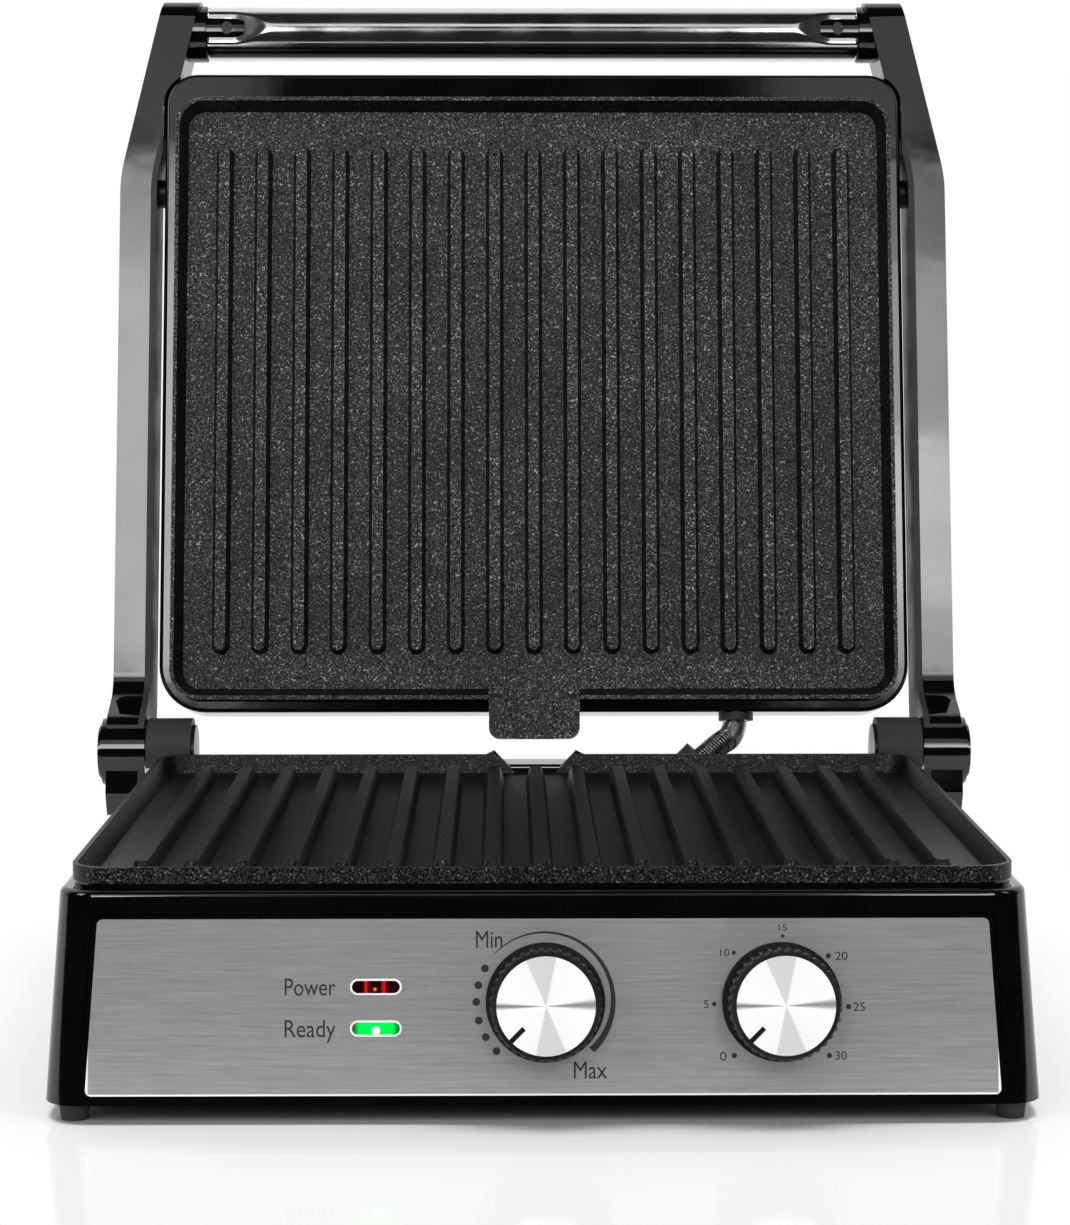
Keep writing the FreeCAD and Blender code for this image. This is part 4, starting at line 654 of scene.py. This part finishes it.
@dataclass
class Prints:
    """The printed dials and words on the steel panel."""

    face: FrontFace
    ink: bpy.types.Material
    thickness: float = 0.03 * MM
    letter: float = 5.2 * MM
    dot: float = 1.2 * MM
    dots_out: float = 21.2 * MM
    level: float = field(init=False)
    cap: float = field(init=False)
    DOT_TURNS: ClassVar[tuple[float, ...]] = (151.0, 166.0, 180.0, 195.5, 210.3, 225.0)
    MINUTES: ClassVar[tuple[Minute, ...]] = (
        Minute("0", -14.5, -16.5, 0.82, -17.9, 2.0, 2.7, -0.2),
        Minute("5", -20.6, -0.8, 0.68, -23.1, 1.5, 2.4),
        Minute("10", -14.5, 14.9, 0.66, -17.3, 2.8, 2.1),
        Minute("15", 0.5, 20.0, 0.56, 0.6, 2.5, 2.0, 2.6),
        Minute("20", 14.6, 13.9, 0.8, 18.6, 3.8, 2.5),
        Minute("25", 20.7, -1.7, 0.82, 24.0, 3.5, 2.6),
        Minute("30", 14.7, -16.6, 0.82, 18.3, 3.5, 2.6),
    )

    def __post_init__(self) -> None:
        """Finds the panel's face and the height of the font's capitals."""
        self.level = self.face.height_of("front_panel") - self.thickness / 3
        probe = self.lettering("H")
        self.cap = max(v.co.y for v in probe.vertices)
        bpy.data.meshes.remove(probe)

    def lettering(self, words: str) -> bpy.types.Mesh:
        """A word as a flat mesh, one unit tall or so."""
        data = bpy.data.curves.new("lettering", "FONT")
        data.body = words
        data.size = 1.0
        data.resolution_u = 6
        return mesh_of(data)

    def word(self, name: str, words: str, knob: Vector, left: float, right: float, base: float,
             height: float) -> None:
        """Prints a word between two edges.

        Args:
            name: the piece's name.
            words: what it says.
            knob: the point that the places are measured from.
            left: its left edge, to the right of that point.
            right: its right edge.
            base: its base line, above that point.
            height: the height of its capitals.
        """
        mesh = self.lettering(words)
        low = min(v.co.x for v in mesh.vertices)
        high = max(v.co.x for v in mesh.vertices)
        wide = (right - left) / (high - low)
        tall = height / self.cap
        mesh.transform(Matrix.Diagonal((wide, tall, 1, 1)) @ Matrix.Translation((-low, 0, 0)))
        mesh.transform(Matrix.Translation((left, base, 0)))
        shape = bmesh.new()
        shape.from_mesh(mesh)
        bpy.data.meshes.remove(mesh)
        self.lay(name, shape, knob)

    def lay(self, name: str, shape: bmesh.types.BMesh, knob: Vector) -> None:
        """Gives a flat drawing the ink's thickness and lays it on the panel."""
        bmesh.ops.remove_doubles(shape, verts=shape.verts, dist=1e-7)
        bmesh.ops.recalc_face_normals(shape, faces=shape.faces)
        for face in shape.faces:
            if face.normal.z < 0:
                face.normal_flip()
        sheet = bmesh.ops.extrude_face_region(shape, geom=list(shape.faces))
        raised = [v for v in sheet["geom"] if isinstance(v, bmesh.types.BMVert)]
        bmesh.ops.translate(shape, verts=raised, vec=(0, 0, self.thickness))
        bmesh.ops.recalc_face_normals(shape, faces=shape.faces)
        bmesh.ops.transform(shape, matrix=self.face.matrix(knob, self.level), verts=shape.verts)
        finished(name, shape, self.ink, "base", smooth=False)

    def disc(self, shape: bmesh.types.BMesh, x: float, y: float, radius: float) -> None:
        """Adds a round dot to a drawing."""
        bmesh.ops.create_circle(shape, cap_ends=True, segments=20, radius=radius,
                                matrix=Matrix.Translation((x, y, 0)))

    def temperature_dial(self) -> None:
        """Six dots up the left, a crescent that grows clockwise, and its two end words."""
        knob = self.face.knob("temperature_knob_turn")
        shape = bmesh.new()
        for turn in self.DOT_TURNS:
            angle = math.radians(turn)
            self.disc(shape, self.dots_out * math.cos(angle), self.dots_out * math.sin(angle), self.dot)
        self.lay("temperature_dots", shape, knob)
        self.crescent(knob)
        self.word("word_min", "Min", knob, left=-21.3 * MM, right=-13.2 * MM, base=16.6 * MM,
                  height=self.letter)
        self.word("word_max", "Max", knob, left=8.7 * MM, right=18.9 * MM, base=-23.4 * MM,
                  height=self.letter)

    def crescent(self, knob: Vector, outer: float = 21.6 * MM, thin: float = 0.25 * MM,
                 thick: float = 2.2 * MM, start: float = 136.0, stop: float = -46.0, steps: int = 64) -> None:
        """A band round the knob that widens clockwise to its square end."""
        shape = bmesh.new()
        ends = [shape.verts.new((outer, 0, 0)), shape.verts.new((outer - thick, 0, 0))]
        edge = shape.edges.new(ends)
        turned = Matrix.Rotation(math.radians(stop), 3, "Z")
        bmesh.ops.rotate(shape, verts=ends, cent=(0, 0, 0), matrix=turned)
        sweep = math.radians(start - stop)
        bmesh.ops.spin(shape, geom=[edge, *ends], cent=(0, 0, 0), axis=(0, 0, 1), dvec=(0, 0, 0),
                       angle=sweep, steps=steps, use_merge=False)
        for vert in shape.verts:
            if vert.co.length < outer - thick / 2:
                turn = (math.atan2(vert.co.y, vert.co.x) - math.radians(stop)) / sweep
                vert.co *= (outer - thick + (thick - thin) * turn ** 0.75) / vert.co.length
        self.lay("temperature_crescent", shape, knob)

    def timer_dial(self) -> None:
        """Seven dots round the knob, numbered in minutes."""
        knob = self.face.knob("timer_knob_turn")
        shape = bmesh.new()
        for mark in self.MINUTES:
            self.disc(shape, mark.dot_x * MM, mark.dot_y * MM, mark.dot * MM)
        self.lay("timer_dots", shape, knob)
        for mark in self.MINUTES:
            left, right = (mark.x - mark.wide / 2) * MM, (mark.x + mark.wide / 2) * MM
            self.word("timer_number_" + mark.digits, mark.digits, knob, left, right,
                      (mark.dot_y + mark.rise - mark.tall / 2) * MM, mark.tall * MM)

    def lamp_words(self) -> None:
        """The words beside the two lamps."""
        origin = self.face.knob("temperature_knob_turn")
        for words in ("Power", "Ready"):
            place = middle(words.lower() + "_lens")
            rise = (place - origin).dot(self.face.up)
            spot = origin + self.face.up * rise
            spot.x = place.x
            self.word("word_" + words.lower(), words, spot, left=-28.0 * MM, right=-12.4 * MM,
                      base=-self.letter / 2, height=self.letter)

    def build(self) -> None:
        """Makes every print."""
        self.temperature_dial()
        self.timer_dial()
        self.lamp_words()


# ---------------------------------------------------------------- lamps


@dataclass
class Lamps:
    """The two indicator lamps: the red one glows in two bands, and the green one is lit."""

    red_aside: float = 0.3 * MM
    rim: Colour = (0.62, 0.62, 0.62)
    rim_gloss: float = 0.2

    def build(self) -> None:
        """Dresses the lenses and their rims."""
        red = SignalLens(
            "red_lens", middle("power_lens") - Vector((self.red_aside, 0, 0)), dark=(0.012, 0.0008, 0.0008),
            glow=(0.75, 0.004, 0.004), spot=(1.0, 0.2, 0.03), spot_radius=0.6 * MM, glow_power=0.55,
            spot_power=1.1, glow_from=2.7 * MM, glow_to=4.0 * MM, bands=True)
        green = SignalLens(
            "green_lens", middle("ready_lens"), dark=(0.0, 0.07, 0.02), glow=(0.0, 0.66, 0.05),
            spot=(0.9, 1.0, 0.9), spot_radius=1.1 * MM, glow_power=0.85, spot_power=1.5,
            glow_from=4.2 * MM, glow_to=7.6 * MM)
        dress(red.build(), ["power_lens"])
        dress(green.build(), ["ready_lens"])
        dress(GlossPlastic("lamp_rim", colour=self.rim, gloss=self.rim_gloss).build(), ["lamp_bezels"])


# ---------------------------------------------------------------- conduit


@dataclass
class SpringConduit:
    """The spring-wound sleeve between the deck and the lid, in two lengths."""

    wire: float = 0.44 * MM
    radius: float = 4.52 * MM
    pitch: float = 0.98 * MM
    core: float = 4.3 * MM
    turn_points: int = 16
    route_points: tuple[Point, ...] = (
        (0.0596, 0.10214, 0.0646),
        (0.0724, 0.10214, 0.0774),
        (0.0820, 0.11477, 0.0799),
        (0.0820, 0.11699, 0.0907),
    )

    def route(self) -> list[Vector]:
        """Points on the sleeve's middle line, evenly spaced, from the deck to the lid."""
        data = bpy.data.curves.new("route", "CURVE")
        data.dimensions = "3D"
        spline = data.splines.new("NURBS")
        spline.points.add(len(self.route_points) - 1)
        for point, place in zip(spline.points, self.route_points):
            point.co = (*place, 1.0)
        spline.order_u = 3
        spline.use_endpoint_u = True
        spline.resolution_u = 60
        mesh = mesh_of(data)
        points = [v.co.copy() for v in mesh.vertices]
        bpy.data.meshes.remove(mesh)
        return points

    def helix(self, line: Sequence[Vector]) -> list[Vector]:
        """The wire's middle line, wound round the sleeve's."""
        lengths = [0.0]
        for before, after in zip(line, line[1:]):
            lengths.append(lengths[-1] + (after - before).length)
        points = []
        side = Vector((1, 0, 0))
        steps = int(lengths[-1] / self.pitch * self.turn_points)
        index = 0
        for step in range(steps + 1):
            along = lengths[-1] * step / steps
            while index < len(line) - 2 and lengths[index + 1] < along:
                index += 1
            share = (along - lengths[index]) / (lengths[index + 1] - lengths[index])
            tangent = (line[index + 1] - line[index]).normalized()
            side = (side - tangent * side.dot(tangent)).normalized()
            lift = tangent.cross(side)
            turn = 2 * math.pi * step / self.turn_points
            centre = line[index].lerp(line[index + 1], share)
            points.append(centre + (side * math.cos(turn) + lift * math.sin(turn)) * self.radius)
        return points

    def tube(self, name: str, points: Sequence[Vector], radius: float, sides: int,
             finish: bpy.types.Material) -> bpy.types.Object:
        """A round bar along points."""
        data = bpy.data.curves.new(name, "CURVE")
        data.dimensions = "3D"
        spline = data.splines.new("POLY")
        spline.points.add(len(points) - 1)
        for point, place in zip(spline.points, points):
            point.co = (*place, 1.0)
        data.bevel_depth = radius
        data.bevel_resolution = sides
        data.use_fill_caps = True
        mesh = mesh_of(data)
        for polygon in mesh.polygons:
            polygon.use_smooth = True
        return linked(name, mesh, finish)

    def build(self, steel: bpy.types.Material, core: bpy.types.Material) -> None:
        """Makes the wire and its dark core, each in a lower and an upper length."""
        line = self.route()
        half = len(line) // 2
        for part, stretch, bodies in (
            ("lower", line[:half + 1], ("base", "arms")),
            ("upper", line[half:], ("arms", "lid")),
        ):
            wire = self.tube("conduit_wire_" + part, self.helix(stretch), self.wire, 1, steel)
            sleeve = self.tube("conduit_core_" + part, stretch, self.core, 5, core)
            for piece in (wire, sleeve):
                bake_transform(piece)
                log.info("made %s between %s and %s", piece.name, *bodies)
            if part == "lower":
                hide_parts("conduit")


# ---------------------------------------------------------------- handle


@dataclass
class Handle:
    """The steel tube between the arms, pressed flat round a cross-head screw at each end."""

    radius: float = 11.1 * MM
    sides: int = 72
    flat: float = 2.1 * MM
    flat_end: float = 11.0 * MM
    round_from: float = 27.0 * MM
    station: float = 1.5 * MM
    screw_inset: float = 8.8 * MM
    dimple: float = 3.6 * MM
    dimple_depth: float = 0.7 * MM
    head: float = 3.1 * MM
    head_height: float = 1.5 * MM
    cross: float = 0.42 * MM
    opening: float = 101.65
    centre: Vector = field(default_factory=lambda: middle("handle_tube"))

    def __post_init__(self) -> None:
        """Takes the tube's length from its CAD node, and the side of its screws from the lid's opening."""
        self.half = Vector(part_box("handle_tube")[1]).x
        lean = math.radians(-self.opening)
        self.outward = Vector((0, math.sin(lean), -math.cos(lean)))
        self.upward = Vector((1, 0, 0)).cross(self.outward)

    def pressed(self, end: float) -> float:
        """How far the flat lies under the round, at a distance from the tube's end."""
        share = min(max((end - self.flat_end) / (self.round_from - self.flat_end), 0.0), 1.0)
        return self.flat * (1 - share * share * (3 - 2 * share))

    def tube(self, steel: bpy.types.Material) -> None:
        """Makes the tube: a ring drawn out from end to end, then pressed in at its two flats."""
        shape = bmesh.new()
        turn = Matrix.Rotation(math.radians(90), 4, "Y")
        start = Matrix.Translation(self.centre - Vector((self.half, 0, 0)))
        bmesh.ops.create_circle(shape, segments=self.sides, radius=self.radius, matrix=start @ turn)
        edges = list(shape.edges)
        near = int(self.round_from / self.station) + 2
        lengths = [self.station] * near
        lengths = lengths + [2 * self.half - 2 * near * self.station] + lengths
        for length in lengths:
            drawn = bmesh.ops.extrude_edge_only(shape, edges=edges)["geom"]
            verts = [v for v in drawn if isinstance(v, bmesh.types.BMVert)]
            edges = [e for e in drawn if isinstance(e, bmesh.types.BMEdge)
                     and abs(e.verts[0].co.x - e.verts[1].co.x) < self.station / 10]
            bmesh.ops.translate(shape, verts=verts, vec=(length, 0, 0))
        bmesh.ops.holes_fill(shape, edges=shape.edges, sides=self.sides)
        for vert in shape.verts:
            self.press(vert)
        bmesh.ops.recalc_face_normals(shape, faces=shape.faces)
        piece = finished("handle_grip_tube", shape, steel, "arms")
        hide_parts("handle_tube")

    def press(self, vert: bmesh.types.BMVert) -> None:
        """Moves a point of the tube in to the flat and to the screw's dimple."""
        out = vert.co - self.centre
        end = self.half - abs(out.x)
        proud = out.dot(self.outward)
        level = self.radius - self.pressed(end)
        if proud > level:
            vert.co -= self.outward * (proud - level)
            away = math.hypot(end - self.screw_inset, out.dot(self.upward))
            if away < self.dimple:
                share = away / self.dimple
                vert.co -= self.outward * self.dimple_depth * (1 - share ** 4)

    def screw(self, side: int, steel: bpy.types.Material) -> bpy.types.Object:
        """Makes one screw head, with a cross cut in it."""
        shape = bmesh.new()
        bmesh.ops.create_cone(shape, cap_ends=True, segments=40, radius1=self.head, radius2=self.head,
                              depth=self.head_height)
        rim = [e for e in shape.edges if all(v.co.z > 0 for v in e.verts)]
        bmesh.ops.bevel(shape, geom=rim, offset=self.head_height / 2, affect="EDGES", segments=4,
                        profile=0.5, material=-1)
        cutter = bmesh.new()
        for turn in (20.0, 110.0):
            bar = bmesh.ops.create_cube(cutter, size=1.0)["verts"]
            bmesh.ops.scale(cutter, verts=bar, vec=(self.head * 1.25, self.cross * 2, self.head_height))
            bmesh.ops.rotate(cutter, verts=bar, matrix=Matrix.Rotation(math.radians(turn), 3, "Z"))
        bmesh.ops.translate(cutter, verts=cutter.verts, vec=(0, 0, self.head_height * 0.55))
        shape = carved(shape, cutter)
        columns = Matrix((Vector((1, 0, 0)), self.upward, self.outward)).transposed().to_4x4()
        level = self.radius - self.flat - self.dimple_depth + self.head_height / 2 - 0.1 * MM
        spot = self.centre + Vector((side * (self.half - self.screw_inset), 0, 0)) + self.outward * level
        bmesh.ops.transform(shape, matrix=Matrix.Translation(spot) @ columns, verts=shape.verts)
        bmesh.ops.recalc_face_normals(shape, faces=shape.faces)
        name = "handle_screw_left" if side < 0 else "handle_screw_right"
        return finished(name, shape, steel, "arms", smooth=False)

    def build(self, steel: bpy.types.Material, dark: bpy.types.Material) -> None:
        """Makes the tube and both screws."""
        self.tube(steel)
        screws = [self.screw(side, dark) for side in (-1, 1)]
        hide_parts("handle_screws")


# ---------------------------------------------------------------- stage, lights and camera


@dataclass
class Studio:
    """Pale floor, white surround, softboxes and the camera."""

    lens: float = 98.44
    place: Vector = field(default_factory=lambda: Vector((-0.01185, -1.06311, 0.23906)))
    pitch: float = 5.284
    yaw: float = 0.5947
    reach: float = 12.0
    cards_at: float = -1.75
    sensor: float = 36.0
    contact: float = 0.1
    mirror: float = 0.11
    mirror_blur: float = 0.09
    mirror_at: float = -0.42
    mirror_reach: tuple[float, float] = (0.2, 0.62)
    table_edge: tuple[float, float] = (-0.36, -0.24)
    table_dark: float = 0.02
    dusk: tuple[float, float] = (0.02, 0.42)
    front_level: float = 0.012
    diffuse_level: float = 0.95
    SOFTBOXES: ClassVar[tuple[tuple[str, float, float, float], ...]] = (
        ("left_softbox", -52.0, 0.55, 5.0), ("right_softbox", 58.0, 0.45, 2.5))
    # Painted shadow: steps of the floor's glow over ambient occlusion, each from, to, and the brightness it
    # adds.
    PAINTED_SHADOW: ClassVar[tuple[Point, ...]] = ((0.02, 0.22, 0.19), (0.42, 0.54, 0.6), (0.52, 0.92, 0.21))
    CARDS: ClassVar[tuple[tuple[str, float, float, float, float, float], ...]] = (
        ("left_strip", -0.52, -0.29, 0.66, 1.15, 7.4),
        ("left_strip_top", -0.52, -0.29, 1.15, 1.28, 5.6),
        ("right_strip_low", 0.29, 0.52, 0.66, 0.75, 6.0),
        ("right_strip_bright", 0.29, 0.52, 0.75, 0.94, 9.0),
        ("right_strip", 0.29, 0.52, 0.94, 1.15, 5.2),
        ("right_strip_top", 0.29, 0.52, 1.15, 1.28, 2.6),
        ("left_upper", -0.6, -0.29, 1.31, 2.1, 0.9),
        ("right_upper", 0.29, 0.6, 1.31, 2.1, 0.8),
        ("middle_low", -0.27, 0.27, 0.8, 1.15, 0.35),
        ("middle_high", -0.27, 0.27, 1.52, 2.1, 0.95),
    )

    def camera(self) -> None:
        """Stands the camera in front of the press, a little above it."""
        data = bpy.data.cameras.new("camera")
        data.lens = self.lens
        data.sensor_width = self.sensor
        data.sensor_fit = "HORIZONTAL"
        data.clip_end = 100.0
        camera = bpy.data.objects.new("camera", data)
        camera.location = self.place
        camera.rotation_euler = (math.radians(90.0 - self.pitch), 0.0, math.radians(-self.yaw))
        bpy.context.scene.collection.objects.link(camera)
        bpy.context.scene.camera = camera

    def floor(self) -> None:
        """A white floor with a faint mirror in it, and a painted contact shadow: its glow dims with ambient
        occlusion.
        """
        shape = bmesh.new()
        bmesh.ops.create_grid(shape, x_segments=1, y_segments=1, size=self.reach)
        mesh = bpy.data.meshes.new("floor")
        shape.to_mesh(mesh)
        shape.free()
        graph = Graph("floor_white")
        graph.tree.nodes.remove(graph.shader)
        # Painted shadow: the floor glows less where ambient occlusion finds the press close by.
        near = graph.add("AmbientOcclusion", {"Distance": self.contact}, samples=24).outputs["AO"]
        bright = 0.0
        for low, high, step in self.PAINTED_SHADOW:
            bright = graph.maths("ADD", bright, graph.ranged(near, low, high, 0.0, step))
        ahead = graph.add("SeparateXYZ", {0: graph.place()}).outputs[1]
        table = graph.ranged(ahead, *self.table_edge, self.table_dark, 1.0)
        rays = graph.add("LightPath", {}).outputs
        seen_as = graph.mix(rays["Is Glossy Ray"], (1.0, 1.0, 1.0), table)
        diffuse = graph.add("BsdfDiffuse", {"Color": (0.8, 0.8, 0.8, 1.0)})
        sheen = graph.add("BsdfGlossy", {"Color": (1.0, 1.0, 1.0, 1.0), "Roughness": self.mirror_blur})
        glow = graph.add("Emission", {"Color": seen_as, "Strength": bright})
        clear = graph.maths("MAXIMUM", rays["Is Camera Ray"], rays["Is Transmission Ray"])
        seen = graph.maths("MAXIMUM", clear, rays["Is Glossy Ray"])
        lit = graph.add("MixShader", {0: seen, 1: diffuse.outputs[0], 2: glow.outputs[0]})
        out = graph.place(Vector((0, self.mirror_at, 0)))
        away = graph.add("VectorMath", {0: out}, operation="LENGTH").outputs["Value"]
        mirror = graph.maths("MULTIPLY", rays["Is Camera Ray"],
                             graph.ranged(away, *self.mirror_reach, self.mirror, 0.0))
        polished = graph.add("MixShader", {0: mirror, 1: lit.outputs[0], 2: sheen.outputs[0]})
        graph.tree.links.new(polished.outputs[0], graph.tree.nodes["Material Output"].inputs["Surface"])
        floor = linked("floor", mesh, graph.block)

    def surround(self) -> None:
        """A white world behind the press, dimmer in front of it where only gloss sees it."""
        graph = Graph("studio", world=True)
        bpy.context.scene.world = graph.block
        rays = graph.add("LightPath", {}).outputs
        way = graph.add("TexCoord", {}).outputs["Generated"]
        behind = graph.add("SeparateXYZ", {0: way}).outputs["Y"]
        gloss = graph.ranged(behind, *self.dusk, self.front_level, 1.0)
        level = graph.between(rays["Is Glossy Ray"], self.diffuse_level, gloss)
        clear = graph.maths("MAXIMUM", rays["Is Camera Ray"], rays["Is Transmission Ray"])
        graph.drive("Strength", graph.between(clear, level, 1.0))
        graph.fix(Color=(1.0, 1.0, 1.0, 1.0))

    def softbox(self, name: str, spot: Vector, aim: Vector, width: float, height: float,
                radiance: float) -> None:
        """A soft rectangular light.

        Args:
            name: the light's name.
            spot: its middle.
            aim: what it points at.
            width: its level side.
            height: its other side.
            radiance: how bright its face is, where 1 is white.
        """
        data = bpy.data.lights.new(name, "AREA")
        data.shape = "RECTANGLE"
        data.size = width
        data.size_y = height
        data.energy = radiance * width * height * math.pi
        lamp = bpy.data.objects.new(name, data)
        lamp.location = spot
        lamp.rotation_euler = (aim - spot).to_track_quat("-Z", "Y").to_euler()
        bpy.context.scene.collection.objects.link(lamp)

    def build(self) -> None:
        """Sets up the whole studio; each card stands upright and faces the press."""
        self.camera()
        self.floor()
        self.surround()
        for name, left, right, low, high, radiance in self.CARDS:
            spot = Vector(((left + right) / 2, self.cards_at, (low + high) / 2))
            self.softbox(name, spot, spot + Vector((0, 1, 0)), right - left, high - low, radiance)
        aim = Vector((0, 0, 0.2))
        for name, turn, width, radiance in self.SOFTBOXES:
            spot = self.from_aim(aim, distance=1.9, rise=38.0, turn=turn)
            self.softbox(name, spot, aim, width, 0.8, radiance)

    def from_aim(self, aim: Vector, distance: float, rise: float, turn: float) -> Vector:
        """A point seen from the press at an elevation, and a turn from the front, in degrees."""
        tilt, swing = math.radians(rise), math.radians(turn)
        way = Vector((math.sin(swing) * math.cos(tilt), -math.cos(swing) * math.cos(tilt), math.sin(tilt)))
        return aim + way * distance


# ---------------------------------------------------------------- the press


@dataclass
class Press:
    """All of the press, sub-assembly by sub-assembly."""

    face: FrontFace = field(default_factory=FrontFace)

    def housing(self) -> None:
        """Base, lid and arm mouldings."""
        gloss = GlossPlastic("gloss_black").build()
        dress(gloss, ["base_shell", "front_fascia", "arm_left", "arm_right", "lid_shell", "hinge_caps",
                      "handle_sockets", "pivot_caps"])
        matte = MouldedPlastic("matte_black").build()
        dress(matte, ["bottom_cover", "hinge_tower_left", "hinge_tower_right", "arm_liner_left",
                      "arm_liner_right", "terminal_block", "cord_inlet", "base_gland", "lid_gland",
                      "lamp_board", "timer", "drip_tray"])
        cap = MouldedPlastic("tower_cap_black", colour=(0.008, 0.008, 0.008), roughness=0.3, depth=0.03 * MM)
        dress(cap.build(), ["tower_caps"])
        dress(Rubber().build(), ["rubber_feet"])

    def plates(self) -> None:
        """Both cooking plates and what is under them."""
        dress(NonStick("nonstick_coating").build(), ["upper_plate"])
        # The lower plate gets a darker copy of the same coating: painted shade over the whole plate.
        dress(NonStick("nonstick_coating_painted_shade", level=0.4).build(), ["lower_plate"])
        element = MachinedMetal("element_steel", (0.25, 0.24, 0.22), 0.45).build()
        dress(element, ["lower_heater", "upper_heater"])
        dress(MachinedMetal("aluminised_sheet", (0.68, 0.68, 0.69), 0.4, 90.0).build(),
              ["lower_reflector", "upper_reflector", "drain_chute"])

    def metal(self) -> None:
        """Panel, cover, tube, pins and screws."""
        low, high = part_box("front_panel")
        # The panel gets a painted highlight along its edges.
        panel = BrushedMetal("brushed_panel", Along.X, colour=(0.52, 0.52, 0.52), roughness=0.42,
                             edges=(Vector(low), Vector(high))).build()
        dress(panel, ["front_panel"])
        dress(BrushedMetal("brushed_cover", Along.X, colour=(0.6, 0.6, 0.6)).build(), ["lid_cover"])
        dark = MachinedMetal("dark_screw", (0.1, 0.1, 0.1), 0.35).build()
        Handle().build(PolishedMetal("polished_steel").build(), dark)
        plated = MachinedMetal("plated_steel", (0.55, 0.55, 0.56)).build()
        dress(plated, ["case_screws", "thermostat", "lower_plate_screws", "upper_plate_screws", "hinge_pins",
                       "stop_pins", "pivot_bolts", "temperature_shaft", "timer_shaft", "thermal_fuse",
                       "upper_cutout"])
        dress(MachinedMetal("bush_steel", (0.06, 0.06, 0.06), 0.4).build(), ["pivot_bushes"])

    def knobs(self) -> None:
        """Both knobs: a black fluted grip and a spun disc."""
        grip = MouldedPlastic("knob_black", colour=(0.009, 0.009, 0.009), roughness=0.34, depth=0.03 * MM)
        dress(grip.build(), ["temperature_knob", "timer_knob"])
        for knob in ("temperature_knob", "timer_knob"):
            disc = knob + "_face"
            centre = self.face.knob(knob + "_turn") + self.face.outward * self.face.height_of(disc)
            dress(SpunMetal(disc + "_spun", centre, self.face.outward, self.face.up).build(), [disc])

    def build(self) -> None:
        """Dresses and makes every piece."""
        wire = MachinedMetal("sleeve_wire", (0.5, 0.5, 0.51), 0.28).build()
        core = MouldedPlastic("sleeve_core", colour=(0.01, 0.01, 0.01)).build()
        SpringConduit().build(wire, core)
        self.housing()
        self.plates()
        self.metal()
        self.knobs()
        Lamps().build()
        Prints(self.face, Ink().build()).build()


def main() -> None:
    """Builds the studio and the press."""
    logging.basicConfig(level=logging.INFO, format="%(message)s")
    bpy.context.scene.view_settings.view_transform = "Standard"
    Studio().build()
    Press().build()


if __name__ == "__main__":
    main()
